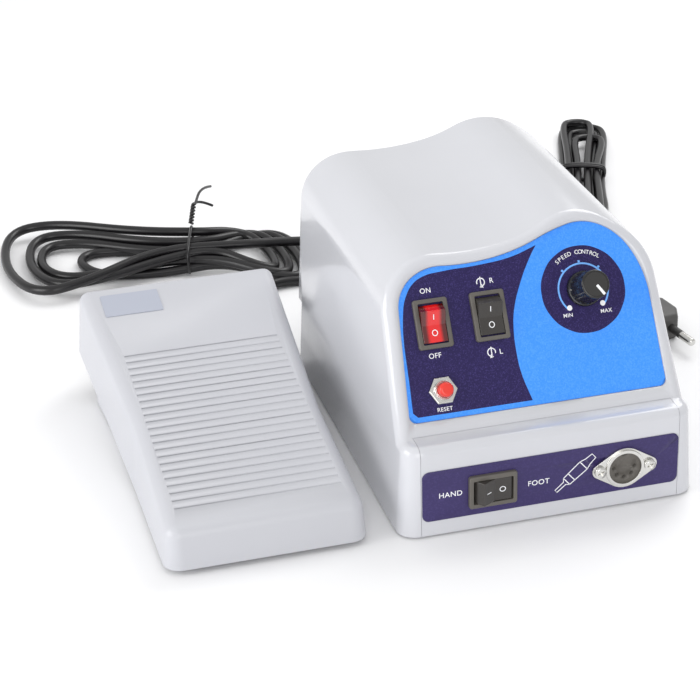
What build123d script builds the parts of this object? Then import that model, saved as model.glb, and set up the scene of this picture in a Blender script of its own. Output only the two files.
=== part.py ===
from build123d import *
import os
from math import cos, pi, radians, sin, sqrt, tan

# Micromotor nail drill: control unit, foot pedal, pedal cord and mains lead. Millimetres, +Z up, front
# towards -Y, origin on the table under the middle of the unit and pedal together.

# ---- control unit casing ----
casing_width = 132.0
casing_depth = 177.5
casing_wall = 2.5
side_draft = 3.3
crest_height = 114.5
left_shoulder_drop, right_shoulder_drop = 29.7, 28.8
plinth_height = 42.0
panel_foot = 11.0
panel_tilt = 31.1
ridge_radius = 4.5
plinth_corner = 8.5
plinth_edge = 4.0
# the wavy top is a chain of tangent arcs: share of the half width, and drop under the crest
top_wave = [(-0.655, 9.5), (-0.517, 9.1), (-0.037, 7.9), (0.214, 2.8), (0.624, 3.6), (0.809, 12.3)]

# ---- base, feet and rear ----
seam = 0.15
side_margin = 9.0
strip_half_width = casing_width / 2 - side_margin
base_lift = 1.0
base_plate = 3.0
base_gap = 0.5
foot_radius = 6.0
foot_recess = 1.0
foot_x = casing_width / 2 - 18.0
foot_y = casing_depth / 2 - 18.75
screw_radius = 1.5
clearance_radius = 1.7
screw_head_radius, screw_head_height, screw_length = 2.8, 1.7, 13.0
screw_sink = 0.2
strip_depth = panel_foot - 0.01
boss_radius, boss_height, boss_hole_depth = 4.0, 24.0, 14.0
boss_x = strip_half_width
boss_y = casing_depth / 2 - 26.75
web_offset, web_size = 3.7, (5.4, 3.0)
rear_opening = (casing_width - 32.0, 60.0)
rear_overlap = 4.0
rear_plate_thickness = 1.5
rear_centre_z = 42.0
rear_screw_x = rear_opening[0] / 2 + 1.8
rear_screw_z = rear_opening[1] / 2 + 1.8
rear_head_radius, rear_head_height = 2.7, 1.6

# ---- front panel fittings: x, distance up the panel from the label's lower edge ----
panel_margin = 6.0
recess_depth = 1.6
label_thickness = 0.4
label_gap = 0.3
# the label's top is a chain of tangent arcs too: share of its half width, and height on the panel
label_half = strip_half_width
label_shoulder = (-0.9475, 47.0)
label_wave = [(-0.805, 60.35), (-0.576, 63.3), (-0.0335, 65.3), (0.192, 69.4), (0.437, 73.7),
              (0.675, 72.0), (0.886, 60.55), (0.987, 38.0)]
label_corner = 3.0
power_at = (-label_half + 16.4, 39.9)
direction_at = (power_at[0] + 24.9, 39.9)
dial_at = (label_half - 29.7, 45.4)
reset_at = (-label_half + 16.1, 11.8)

# ---- lower label and its fittings: x, height ----
front_label_z = (8.0, 31.4)
front_label_half = strip_half_width
mode_at = (-strip_half_width + 30.7, 19.2)
din_at = (strip_half_width - 24.8, 19.3)

# ---- rocker switches ----
bezel_size = (15.0, 21.0)
bezel_height = 2.0
housing_size = (13.0, 19.0)
housing_depth = 12.5
rocker_opening = (11.0, 17.4)
rocker_gap = 0.3
rocker_half_length = 7.7
rocker_rise = 3.6
rocker_valley = 2.6
rocker_depth = 2.4
rocker_swing = 22.0
bezel_corner, bezel_edge = 1.2, 0.6
housing_floor = 2.0
trunnion_radius, trunnion_reach = 1.0, 5.8
terminal_pitch = 5.0
terminal_size = (4.8, 0.8, 7.5)
running_gap = 0.05
cutout_gap = 0.15

# ---- speed control ----
pot_radius, pot_depth = 8.5, 9.0
bush_radius, bush_rise = 3.5, 3.5
bush_nut_flats, bush_nut_height = 10.0, 2.0
shaft_radius, shaft_lift = 3.0, 2.2
knob_foot_radius, knob_top_radius, knob_height = 7.6, 6.1, 16.5
knob_skirt, knob_step, knob_edge = 2.2, 0.5, 0.5
knob_lift = 0.6
knob_room, knob_roof = 0.8, 2.2
pointer_size, pointer_start = (5.0, 1.1, 0.3), 0.6
pointer_angle = -57.0

# ---- overload reset button ----
reset_bush_radius, reset_bush_rise = 4.0, 3.4
reset_nut_flats, reset_nut_height = 11.0, 2.2
reset_button_radius = 3.1
reset_rise, reset_sunk, reset_crown = 7.6, 4.5, 1.2
reset_travel = 2.0
breaker_size = (14.0, 11.0, 20.0)

# ---- handpiece socket ----
din_flange_radius, din_ear_radius, din_flange_thickness = 9.3, 3.4, 1.2
din_screw_pitch = 22.2
din_collar_radius, din_collar = 8.6, 0.8
din_shell_radius, din_bore_radius = 8.1, 7.2
din_depth = 12.0
din_screw_radius = 1.3
din_nut_flats, din_nut_height = 5.0, 2.0
din_head = (2.5, 1.4)
din_insert_rise = 0.6
din_hole_radius, din_hole_depth = 0.9, 7.0
din_keyway = (2.4, 3.0)
din_pin_circle = 4.6

# ---- rear fittings: x, height ----
fuse_at, jack_at, gland_at = (0.0, 30.0), (-30.0, 26.0), (30.0, 26.0)
fuse_flange, fuse_grip = (7.5, 2.0), (6.0, 8.0)
fuse_barrel_radius, fuse_barrel_length, fuse_bore_radius = 6.0, 28.0, 3.6
jack_nut_flats, jack_nut_height = 11.0, 2.5
jack_barrel_radius, jack_body = 4.0, (14.0, 12.0, 16.0)
jack_pin_radius, jack_pin_length = 1.75, 14.0
jack_grip_radius, jack_grip_length, jack_sleeve_length = 5.2, 20.0, 12.0
gland_flange = (7.5, 2.0)
gland_neck_radius, gland_neck_length, gland_length = 5.0, 6.0, 24.0
gland_sleeve_radii = (5.0, 2.8)

# ---- transformer and circuit board ----
transformer_x, transformer_y = -18.0, 118.0
core_size = (54.0, 20.0, 45.0)
core_leg, core_window = 9.0, 9.0
winding_depth = 38.0
strap_thickness, strap_width, strap_hole_x = 1.5, 16.0, 34.0
board_y, board_z = 62.0, 12.0
board_size = (98.0, 60.0, 1.6)
board_hole_x, board_hole_y = 43.0, 26.0
pillar_radius = 3.0
sink_at, sink_size = (18.0, 20.0), (42.0, 10.0, 26.0)
sink_fins, sink_pitch = 7, 5.6
capacitor_at, capacitor_size = [(-14.0, 14.0), (-33.0, 14.0)], (8.0, 24.0)

# ---- foot pedal ----
pedal_gap = 6.8
pedal_front_half, pedal_back_half = 43.3, 51.0
pedal_length = 188.5
pedal_setback = 2.0
pedal_bend, pedal_bend_radius = 73.0, 120.0
pedal_draft = 5.14
pedal_corner = 8.0
pedal_wall = 1.8
tread_front_height = 20.0
tread_slope = 9.0
tread_edge = 5.0
skirt_front, skirt_back = 2.6, 19.5
pedal_base_gap = 2.4
base_wall = 1.6
base_heights = (9.0, 18.0)
pedal_base_length = 168.0
pedal_floor = 2.2
pedal_lift = 0.8
pivot_y, pivot_z = 60.0, 8.0
pivot_radius = 2.0
ear_x, ear_size = 30.0, (5.0, 10.0)
post_x, post_size = 22.0, (6.0, 10.0)
groove_count = 23
groove_half, groove_width, groove_depth = 35.4, 0.9, 0.5
groove_first, groove_last = 16.5, 127.2
plate_at, plate_size = (-24.2, 168.4), (27.0, 17.6)
plate_thickness = 0.4
spring_y, spring_radius, spring_wire, spring_top = 150.0, 6.5, 1.3, 40.0
seat_depth = 3.0
sensor_y, sensor_size = 115.0, (20.0, 14.0, 16.0)
plunger_radius, plunger_foot, plunger_gap = 2.0, 11.0, 0.3
pedal_foot_radius, pedal_foot_height = 5.0, 2.0
pedal_feet_at = [(-32.0, 14.0), (32.0, 14.0), (-36.0, 160.0), (36.0, 160.0)]
pedal_gland_x, pedal_gland_z = 20.0, 8.0
pedal_gland_radius, pedal_gland_length = 4.4, 14.0
notch_size = (12.0, 26.0)

# ---- cords ----
pedal_cord_radius = 2.5
mains_cord_radius = 2.1
tie_thickness, tie_width = 0.8, 4.0
# routes in the unit's own directions: x from its middle, y from its front face, height
pedal_lead_points = [(-102.0, 184.0, 8.0), (-102.0, 198.0, 8.0), (-99.0, 214.0, 4.6), (-90.0, 232.0, 2.6),
                     (-74.0, 250.0, 2.6), (-56.0, 262.0, 3.4)]
pedal_tail_points = [(-30.0, 209.7, 26.0), (-30.0, 222.0, 26.0), (-27.0, 236.0, 19.0), (-20.0, 250.0, 12.0),
                     (-8.0, 262.0, 8.0)]
mains_lead_points = [(30.0, 199.0, 26.0), (30.0, 213.0, 26.0), (34.0, 228.0, 19.0), (43.0, 243.0, 8.0),
                     (58.0, 255.0, 2.8), (78.0, 258.0, 2.2), (97.0, 252.0, 3.4), (112.0, 256.0, 5.0)]
mains_tail_points = [(96.14, 189.26, 6.85), (93.77, 203.04, 6.85), (95.0, 219.0, 3.4), (101.0, 234.0, 3.0),
                     (106.5, 248.0, 4.0)]
# pedal cord's hank: loop centres with half sizes, and the waist under the tie
pedal_loops = [((-141.0, 318.0), (50.5, 50.0)), ((-36.0, 290.0), (58.0, 54.0))]
pedal_waist = ((-92.0, 302.0), (44.0, 52.0))
pedal_hank_height = 13.6
mains_hank_at, mains_hank_turn, mains_hank_size = (142.0, 332.0), 69.1, (208.0, 34.0, 12.8)
mains_tie_along = 18.0

# ---- mains plug: face middle, direction of the pins ----
plug_at, plug_turn = (105.0, 138.0), -80.2
plug_thickness, plug_length, plug_edge = 13.7, 36.0, 2.4
plug_face, plug_half, plug_neck = 13.2, 17.65, 6.5
plug_shoulder = (8.0, 20.0)
plug_sleeve_length, plug_sleeve_radii = 16.0, (4.4, 2.7)
pin_pitch, pin_radius, pin_length = 19.0, 2.0, 19.0

# ---- where the unit and the pedal stand ----
unit_half = casing_width / 2 - base_lift * tan(radians(side_draft))
# the pedal is widest where its rear corners begin, at the skirt's lower edge there
splay = (pedal_back_half - pedal_front_half) / (pedal_length - pedal_bend)
skirt_rise = (skirt_back - skirt_front) / (pedal_length - pedal_bend)
corner_skirt = skirt_back - skirt_rise * pedal_corner
corner_loss = pedal_corner * (sqrt(1 + splay**2) + splay - 1)
pedal_half = pedal_back_half - corner_loss - corner_skirt * tan(radians(pedal_draft))
total_width = 2 * unit_half + pedal_gap + 2 * pedal_half
unit_x = total_width / 2 - unit_half
pedal_x = pedal_half - total_width / 2
half_swing = radians(rocker_swing / 2)
front_reach = label_thickness + rocker_half_length * sin(half_swing) + rocker_rise * cos(half_swing)
back_reach = pedal_setback + pedal_length - skirt_back * tan(radians(pedal_draft))
front_y = -(back_reach - front_reach) / 2


def on_unit(x, y, z):
    """A level plane at a point counted from the unit's front face and middle."""
    return Plane(origin=(unit_x + x, front_y + y, z))


def facing_front(x, y, z):
    """An upright plane that looks out of the unit's front."""
    return Plane(origin=(unit_x + x, front_y + y, z), x_dir=(1, 0, 0), z_dir=(0, -1, 0))


def facing_back(x, y, z):
    """An upright plane that looks out of the unit's back."""
    return Plane(origin=(unit_x + x, front_y + y, z), x_dir=(-1, 0, 0), z_dir=(0, 1, 0))


def on_panel(x, up, out=0.0):
    """A plane on the sloping panel: up counts from the label's lower edge, out from its face."""
    lean = radians(panel_tilt)
    along = up + panel_margin
    rise = out - (recess_depth - label_thickness)
    return Plane(
        origin=(
            unit_x + x,
            front_y + panel_foot + along * sin(lean) - rise * cos(lean),
            plinth_height + along * cos(lean) + rise * sin(lean),
        ),
        x_dir=(1, 0, 0),
        z_dir=(0, -cos(lean), sin(lean)),
    )


def on_pedal(x, y, z):
    """A level plane at a point counted from the pedal's middle line and the unit's front face."""
    return Plane(origin=(pedal_x + x, front_y + y, z))


def turned(place, angle):
    """The same plane with its own x and y turned about its normal."""
    swing = radians(angle)
    return Plane(
        origin=place.origin,
        x_dir=place.x_dir * cos(swing) + place.y_dir * sin(swing),
        z_dir=place.z_dir,
    )


def moved(place, x, y, out=0.0):
    """A parallel plane at a point given in the plane's own coordinates."""
    return Plane(origin=place.from_local_coords((x, y, out)), x_dir=place.x_dir, z_dir=place.z_dir)


def rod(place, radius, length, mode=Mode.ADD):
    with BuildSketch(place) as section:
        Circle(radius)
    extrude(section.sketch, amount=length, mode=mode)


def block(place, width, height, length, mode=Mode.ADD, corner=0.0):
    with BuildSketch(place) as section:
        if corner:
            RectangleRounded(width, height, corner)
        else:
            Rectangle(width, height)
    extrude(section.sketch, amount=length, mode=mode)


def save(part, name):
    part.label = name
    export_step(part, f"parts/{name}.step")


os.makedirs("parts", exist_ok=True)


# ================= control unit =================
def half_width_at(height):
    return casing_width / 2 - height * tan(radians(side_draft))


def casing_section(bottom, inset):
    """The casing seen from the front: leaning sides under a wavy top, drawn in by inset."""
    left, right = crest_height - left_shoulder_drop, crest_height - right_shoulder_drop
    wave = [(share * casing_width / 2, crest_height - drop) for share, drop in top_wave]
    wave.append((half_width_at(right), right))
    with BuildSketch() as section:
        with BuildLine():
            stretch = Line((-half_width_at(bottom), bottom), (-half_width_at(left), left))
            for point in wave:
                stretch = TangentArc(stretch @ 1, point, tangent=stretch % 1)
            Line(stretch @ 1, (half_width_at(bottom), bottom))
            Line((half_width_at(bottom), bottom), (-half_width_at(bottom), bottom))
        make_face()
        if inset:
            offset(amount=-inset)
    return section.sketch


def casing_upper(inset):
    """Everything behind the sloping panel, from inside the plinth to the crest."""
    place = facing_front(0, inset, 0)
    lean = radians(panel_tilt)
    foot = plinth_height - 8.0
    with BuildPart() as upper:
        extrude(place * casing_section(foot - inset, inset), amount=-(casing_depth - 2 * inset))
        split(bisect_by=on_panel(0, 0, recess_depth - label_thickness - inset), keep=Keep.BOTTOM)
        if not inset:
            panel_face = upper.faces().sort_by(Axis((0, 0, 0), (0, -cos(lean), sin(lean))))[-1]
            ridge = panel_face.edges().filter_by(lambda e: e.center().Z > plinth_height)
            fillet(ridge, ridge_radius)
            back = upper.faces().sort_by(Axis.Y)[-1]
            fillet(back.edges().filter_by(lambda e: e.center().Z > plinth_height), ridge_radius / 2)
    return upper.part


def plinth(inset, bottom):
    """The lower body, which stands out in front of the panel as a ledge."""
    place = facing_front(0, inset, 0)
    top = plinth_height - inset
    low, high = half_width_at(bottom) - inset, half_width_at(top) - inset
    with BuildPart() as lower:
        with BuildSketch(place) as section:
            with BuildLine():
                Polyline((-low, bottom), (-high, top), (high, top), (low, bottom), close=True)
            make_face()
        extrude(section.sketch, amount=-(casing_depth - 2 * inset))
        corners = lower.edges().filter_by(lambda e: abs(e.tangent_at(0.5).Z) > 0.9)
        fillet(corners, plinth_corner - inset)
        if not inset:
            rim = lower.faces().sort_by(Axis.Z)[-1].edges()
            fillet(rim.filter_by(lambda e: e.center().Y < front_y + casing_depth / 2 + 1), plinth_edge)
    return lower.part


with BuildPart() as casing_shell:
    add(casing_upper(0))
    add(plinth(0, base_lift))
    add(casing_upper(casing_wall), mode=Mode.SUBTRACT)
    add(plinth(casing_wall, -5), mode=Mode.SUBTRACT)


def label_sketch(grow):
    """The panel label: upright sides and a top that follows the wavy casing."""
    wave = [(share * label_half, up) for share, up in label_wave]
    with BuildSketch() as outline:
        with BuildLine():
            shoulder = (label_shoulder[0] * label_half, label_shoulder[1])
            stretch = Line((-label_half, 0), shoulder)
            for point in wave:
                stretch = TangentArc(stretch @ 1, point, tangent=stretch % 1)
            Line(stretch @ 1, (label_half, 0))
            Line((label_half, 0), (-label_half, 0))
        make_face()
        fillet(outline.vertices().sort_by(Axis.Y)[:2], label_corner)
        if grow:
            offset(amount=grow)
    return outline.sketch


panel_normal = on_panel(0, 0).z_dir


def panel_cutouts(depth):
    """The openings for the two upper rockers, the potentiometer's bush and the reset's bush."""
    for x, up in (power_at, direction_at):
        block(on_panel(x, up, 1), housing_size[0] + 2 * cutout_gap, housing_size[1] + 2 * cutout_gap,
              -depth, Mode.SUBTRACT)
    rod(on_panel(*dial_at, 1), bush_radius + cutout_gap, -depth, Mode.SUBTRACT)
    rod(on_panel(*reset_at, 1), reset_bush_radius + cutout_gap, -depth, Mode.SUBTRACT)


def front_cutouts(depth):
    """The openings for the mode switch, the socket's shell and its two screws."""
    block(facing_front(mode_at[0], -1, mode_at[1]), housing_size[1] + 2 * cutout_gap,
          housing_size[0] + 2 * cutout_gap, -depth, Mode.SUBTRACT)
    rod(facing_front(din_at[0], -1, din_at[1]), din_shell_radius + cutout_gap, -depth, Mode.SUBTRACT)
    for side in (-0.5, 0.5):
        spot = facing_front(din_at[0] + side * din_screw_pitch, -1, din_at[1])
        rod(spot, din_screw_radius, -depth, Mode.SUBTRACT)


with BuildPart() as upper_casing:
    add(casing_shell.part)
    strip_place = facing_front(0, -1, plinth_height / 2)
    block(strip_place, 2 * (strip_half_width + seam), plinth_height + 2, -(strip_depth + seam + 1),
          Mode.SUBTRACT)
    # shallow bed for the panel label, and the cut-outs under it
    extrude(on_panel(0, 0, -label_thickness) * label_sketch(label_gap), amount=10, dir=panel_normal,
            mode=Mode.SUBTRACT)
    panel_cutouts(8)
    # rear window
    block(facing_back(0, casing_depth - 10, rear_centre_z), *rear_opening, 20, Mode.SUBTRACT, 3)
    for x in (-rear_screw_x, rear_screw_x):
        for z in (-rear_screw_z, rear_screw_z):
            rod(facing_back(x, casing_depth - 10, rear_centre_z + z), clearance_radius, 20, Mode.SUBTRACT)
    # screw bosses, each held to its side wall by a web
    for x in (-boss_x, boss_x):
        for y in (-boss_y, boss_y):
            outwards = web_offset if x > 0 else -web_offset
            rod(on_unit(x, casing_depth / 2 + y, base_lift + base_plate), boss_radius, boss_height)
            block(on_unit(x + outwards, casing_depth / 2 + y, base_lift + base_plate), *web_size, boss_height)
            rod(on_unit(x, casing_depth / 2 + y, base_lift + base_plate), screw_radius, boss_hole_depth,
                Mode.SUBTRACT)

with BuildPart() as base_tray:
    # front strip with the plinth's own section, flush with the casing
    add(casing_shell.part)
    block(facing_front(0, -1, plinth_height / 2), 2 * strip_half_width, plinth_height + 2,
          -(strip_depth + 1), Mode.INTERSECT)
    # floor plate inside the casing's walls
    floor_half = half_width_at(0) - casing_wall - base_gap
    floor_length = casing_depth - 2 * casing_wall - base_gap
    with BuildSketch(on_unit(0, casing_wall + floor_length / 2, base_lift)) as floor:
        RectangleRounded(2 * floor_half, floor_length, plinth_corner - casing_wall)
    extrude(floor.sketch, amount=base_plate)
    # pillars under the circuit board and the transformer's feet
    for x in (-board_hole_x, board_hole_x):
        for y in (-board_hole_y, board_hole_y):
            rod(on_unit(x, board_y + y, base_lift), pillar_radius, board_z - base_lift)
    for x in (-boss_x, boss_x):
        for y in (-boss_y, boss_y):
            rod(on_unit(x, casing_depth / 2 + y, 0), clearance_radius, 10, Mode.SUBTRACT)
            rod(on_unit(x, casing_depth / 2 + y, 0), screw_head_radius + 0.4,
                base_lift + screw_sink + screw_head_height, Mode.SUBTRACT)
    for x in (-foot_x, foot_x):
        for y in (-foot_y, foot_y):
            rod(on_unit(x, casing_depth / 2 + y, 0), foot_radius, base_lift + foot_recess, Mode.SUBTRACT)
    for x in (-strap_hole_x, strap_hole_x):
        rod(on_unit(transformer_x + x, transformer_y, 0), screw_radius, 10, Mode.SUBTRACT)
    front_cutouts(8)

with BuildPart() as rubber_feet:
    for x in (-foot_x, foot_x):
        for y in (-foot_y, foot_y):
            rod(on_unit(x, casing_depth / 2 + y, 0), foot_radius, base_lift + foot_recess)

with BuildPart() as casing_screws:
    for x in (-boss_x, boss_x):
        for y in (-boss_y, boss_y):
            head = on_unit(x, casing_depth / 2 + y, base_lift + screw_sink)
            rod(head, screw_head_radius, screw_head_height)
            rod(head, screw_radius, screw_length)

with BuildPart() as panel_label:
    extrude(on_panel(0, 0, -label_thickness) * label_sketch(0), amount=label_thickness, dir=panel_normal)
    panel_cutouts(3)

front_label_height = front_label_z[1] - front_label_z[0]
front_label_mid = sum(front_label_z) / 2
with BuildPart() as front_label:
    block(facing_front(0, 0, front_label_mid), 2 * (front_label_half - label_gap), front_label_height,
          label_thickness, corner=label_corner)
    front_cutouts(3)


# ---- rocker switches ----
def switch_housing(place):
    """Snap-in housing: a flat bezel on the panel and a hollow box behind it."""
    axle = Plane(origin=place.origin, x_dir=place.y_dir, z_dir=place.x_dir)
    with BuildPart() as housing:
        block(place, *bezel_size, bezel_height, corner=bezel_corner)
        fillet(housing.edges().filter_by(
            lambda e: abs(place.to_local_coords(e.center()).Z - bezel_height) < 0.01), bezel_edge)
        block(place, *housing_size, -housing_depth)
        block(place.offset(bezel_height), *rocker_opening, -(bezel_height + housing_depth - housing_floor),
              Mode.SUBTRACT, 0.5)
        rod(axle.offset(-trunnion_reach - 0.4), trunnion_radius + running_gap, 2 * (trunnion_reach + 0.4),
            Mode.SUBTRACT)
    return housing.part


def switch_rocker(place):
    """The paddle at its rest tilt: its upper half stands out, its lower half is pressed in."""
    axle = Plane(origin=place.origin, x_dir=place.y_dir, z_dir=place.x_dir)
    half = rocker_opening[0] / 2 - rocker_gap
    foot = rocker_half_length - 0.6
    with BuildPart() as rocker:
        with BuildSketch(turned(axle, rocker_swing / 2).offset(-half)) as profile:
            with BuildLine():
                Polyline((-rocker_half_length, rocker_rise), (0, rocker_valley), (rocker_half_length, rocker_rise),
                         (foot, -rocker_depth), (-foot, -rocker_depth), close=True)
            make_face()
        extrude(profile.sketch, amount=2 * half)
        rod(axle.offset(-trunnion_reach), trunnion_radius, 2 * trunnion_reach)
    return rocker.part


power_place = on_panel(*power_at)
direction_place = on_panel(*direction_at)
mode_place = turned(facing_front(mode_at[0], -label_thickness, mode_at[1]), 90)
for name, place in (("power", power_place), ("direction", direction_place), ("mode", mode_place)):
    save(switch_housing(place), f"{name}_switch_housing")
    save(switch_rocker(place), f"{name}_rocker")

with BuildPart() as switch_terminals:
    for place in (power_place, direction_place, mode_place):
        for along in (-terminal_pitch, 0, terminal_pitch):
            block(moved(place, 0, along, -housing_depth), *terminal_size[:2], -terminal_size[2])

# ---- speed control ----
dial = on_panel(*dial_at)
behind_panel = recess_depth - label_thickness - casing_wall
shaft_foot = behind_panel - pot_depth + shaft_lift
shaft_top = knob_height - knob_roof
with BuildPart() as speed_potentiometer:
    rod(dial.offset(behind_panel), pot_radius, -pot_depth)
    rod(dial.offset(behind_panel), bush_radius, bush_rise - behind_panel)
    rod(dial.offset(shaft_foot - 0.2), shaft_radius + running_gap, pot_depth + bush_rise, Mode.SUBTRACT)

with BuildPart() as potentiometer_nut:
    with BuildSketch(dial) as nut:
        RegularPolygon(bush_nut_flats / 2, 6, major_radius=False)
        Circle(bush_radius, mode=Mode.SUBTRACT)
    extrude(nut.sketch, amount=bush_nut_height)

with BuildPart() as potentiometer_shaft:
    rod(dial.offset(shaft_foot), shaft_radius, shaft_top - shaft_foot)

with BuildPart() as speed_knob:
    rod(dial.offset(knob_lift), knob_foot_radius, knob_skirt)
    with BuildSketch(dial.offset(knob_lift + knob_skirt)) as body:
        Circle(knob_foot_radius - knob_step)
    with BuildSketch(dial.offset(knob_height)) as crown:
        Circle(knob_top_radius)
    loft([body.sketch.face(), crown.sketch.face()])
    fillet(speed_knob.edges().group_by(Axis(dial.origin, dial.z_dir))[-1], knob_edge)
    # room for the nut and the bush, and the shaft's hole
    nut_room = bush_nut_height + knob_room
    rod(dial.offset(knob_lift), bush_nut_flats / 2 + 1.3, nut_room, Mode.SUBTRACT)
    rod(dial.offset(knob_lift), bush_radius + 0.3, bush_rise + knob_room, Mode.SUBTRACT)
    rod(dial.offset(knob_lift), shaft_radius, shaft_top - knob_lift, Mode.SUBTRACT)

with BuildPart() as knob_pointer:
    aim = radians(pointer_angle)
    middle = pointer_size[0] / 2 + pointer_start
    block(turned(moved(dial, middle * cos(aim), middle * sin(aim), knob_height), pointer_angle), *pointer_size)

# ---- overload reset ----
reset = on_panel(*reset_at)
with BuildPart() as reset_breaker:
    block(reset.offset(behind_panel), *breaker_size[:2], -breaker_size[2])
    rod(reset.offset(behind_panel), reset_bush_radius, reset_bush_rise - behind_panel)
    rod(reset.offset(reset_bush_rise), reset_button_radius + running_gap,
        -(reset_bush_rise + reset_sunk + reset_travel + 1.0), Mode.SUBTRACT)

with BuildPart() as reset_nut:
    with BuildSketch(reset) as nut:
        RegularPolygon(reset_nut_flats / 2, 6, major_radius=False)
        Circle(reset_bush_radius, mode=Mode.SUBTRACT)
    extrude(nut.sketch, amount=reset_nut_height)
    chamfer(reset_nut.edges().group_by(Axis(reset.origin, reset.z_dir))[-1].filter_by(GeomType.LINE), 0.4)

with BuildPart() as reset_button:
    rod(reset.offset(-reset_sunk), reset_button_radius, reset_rise + reset_sunk)
    fillet(reset_button.edges().group_by(Axis(reset.origin, reset.z_dir))[-1], reset_crown)

# ---- handpiece socket ----
din = facing_front(din_at[0], -label_thickness, din_at[1])
din_spots = [(din_pin_circle * cos(radians(180 + 45 * index)), din_pin_circle * sin(radians(180 + 45 * index)))
             for index in range(5)]
with BuildPart() as din_flange:
    with BuildSketch(din) as flange:
        Circle(din_flange_radius)
        with Locations((-din_screw_pitch / 2, 0), (din_screw_pitch / 2, 0)):
            Circle(din_ear_radius)
        make_hull()
    extrude(flange.sketch, amount=din_flange_thickness)
    rod(din.offset(din_flange_thickness), din_collar_radius, din_collar)
    rod(din, din_shell_radius, -din_depth)
    rod(din.offset(din_depth), din_bore_radius, -3 * din_depth, Mode.SUBTRACT)
    for side in (-0.5, 0.5):
        rod(moved(din, side * din_screw_pitch, 0, -1), din_screw_radius, 10, Mode.SUBTRACT)

with BuildPart() as din_insert:
    rod(din.offset(din_insert_rise), din_bore_radius, -(din_depth + din_insert_rise))
    for x, y in din_spots:
        rod(moved(din, x, y, din_insert_rise), din_hole_radius, -din_hole_depth, Mode.SUBTRACT)
    block(moved(din, 0, din_bore_radius, din_insert_rise), *din_keyway, -din_hole_depth, Mode.SUBTRACT)

with BuildPart() as din_contacts:
    for x, y in din_spots:
        rod(moved(din, x, y, -din_depth), 0.8, -4)

with BuildPart() as din_screws:
    for side in (-0.5, 0.5):
        head = moved(din, side * din_screw_pitch, 0, din_flange_thickness)
        rod(head, din_screw_radius, -(din_flange_thickness + label_thickness + casing_wall + din_nut_height + 1))
        rod(head, *din_head)

with BuildPart() as din_nuts:
    for side in (-0.5, 0.5):
        with BuildSketch(facing_front(din_at[0] + side * din_screw_pitch, casing_wall, din_at[1])) as nut:
            RegularPolygon(din_nut_flats / 2, 6, major_radius=False)
            Circle(din_screw_radius, mode=Mode.SUBTRACT)
        extrude(nut.sketch, amount=-din_nut_height)

# ---- rear panel and what it carries ----
plate_back = casing_depth - casing_wall
fuse_place = facing_back(*fuse_at[:1], plate_back, fuse_at[1])
jack_place = facing_back(*jack_at[:1], plate_back, jack_at[1])
gland_place = facing_back(*gland_at[:1], plate_back, gland_at[1])
with BuildPart() as rear_panel:
    block(facing_back(0, plate_back, rear_centre_z), rear_opening[0] + 2 * rear_overlap,
          rear_opening[1] + 2 * rear_overlap, -rear_plate_thickness)
    for x in (-rear_screw_x, rear_screw_x):
        for z in (-rear_screw_z, rear_screw_z):
            rod(facing_back(x, casing_depth + 5, rear_centre_z + z), screw_radius, -20, Mode.SUBTRACT)
    rod(fuse_place.offset(5), fuse_barrel_radius, -20, Mode.SUBTRACT)
    rod(jack_place.offset(5), jack_barrel_radius, -20, Mode.SUBTRACT)
    rod(gland_place.offset(5), gland_neck_radius, -20, Mode.SUBTRACT)

with BuildPart() as rear_screws:
    for x in (-rear_screw_x, rear_screw_x):
        for z in (-rear_screw_z, rear_screw_z):
            head = facing_back(x, casing_depth, rear_centre_z + z)
            rod(head, rear_head_radius, rear_head_height)
            rod(head, screw_radius, -(casing_wall + rear_plate_thickness + 2))

with BuildPart() as fuse_holder:
    rod(fuse_place, *fuse_flange)
    rod(fuse_place, fuse_barrel_radius, -fuse_barrel_length)
    rod(fuse_place.offset(5), fuse_bore_radius, -(fuse_barrel_length + 3), Mode.SUBTRACT)

with BuildPart() as fuse_cap:
    rod(fuse_place.offset(fuse_flange[1]), *fuse_grip)
    rod(fuse_place.offset(fuse_flange[1]), fuse_bore_radius, -(fuse_barrel_length / 2))
    block(fuse_place.offset(fuse_flange[1] + fuse_grip[1]), 2 * fuse_grip[0] - 3, 1.2, -1.0, Mode.SUBTRACT)

with BuildPart() as pedal_socket:
    with BuildSketch(jack_place) as nut:
        RegularPolygon(jack_nut_flats / 2, 6, major_radius=False)
    extrude(nut.sketch, amount=jack_nut_height)
    rod(jack_place, jack_barrel_radius, -rear_plate_thickness)
    block(jack_place.offset(-rear_plate_thickness), *jack_body[:2], -jack_body[2])
    rod(jack_place.offset(5), jack_pin_radius + running_gap, -(jack_pin_length + 6), Mode.SUBTRACT)

with BuildPart() as mains_gland:
    rod(gland_place, *gland_flange)
    rod(gland_place, gland_neck_radius, -gland_neck_length)
    with BuildSketch(gland_place.offset(gland_flange[1])) as wide_end:
        Circle(gland_sleeve_radii[0])
    with BuildSketch(gland_place.offset(gland_length)) as narrow_end:
        Circle(gland_sleeve_radii[1])
    loft([wide_end.sketch.face(), narrow_end.sketch.face()])

# ---- inside the casing ----
core_place = on_unit(transformer_x, transformer_y, base_lift + base_plate)
window_height = core_size[2] - 2 * core_leg
with BuildPart() as transformer_core:
    block(core_place, *core_size)
    for side in (-1, 1):
        centre = side * (core_leg + core_window / 2)
        block(moved(core_place, centre, 0, core_leg), core_window, core_size[1], window_height, Mode.SUBTRACT)

with BuildPart() as transformer_winding:
    block(core_place.offset(core_leg), 2 * (core_leg + core_window), winding_depth, window_height)
    block(core_place.offset(core_leg), 2 * core_leg, core_size[1], window_height, Mode.SUBTRACT)

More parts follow.
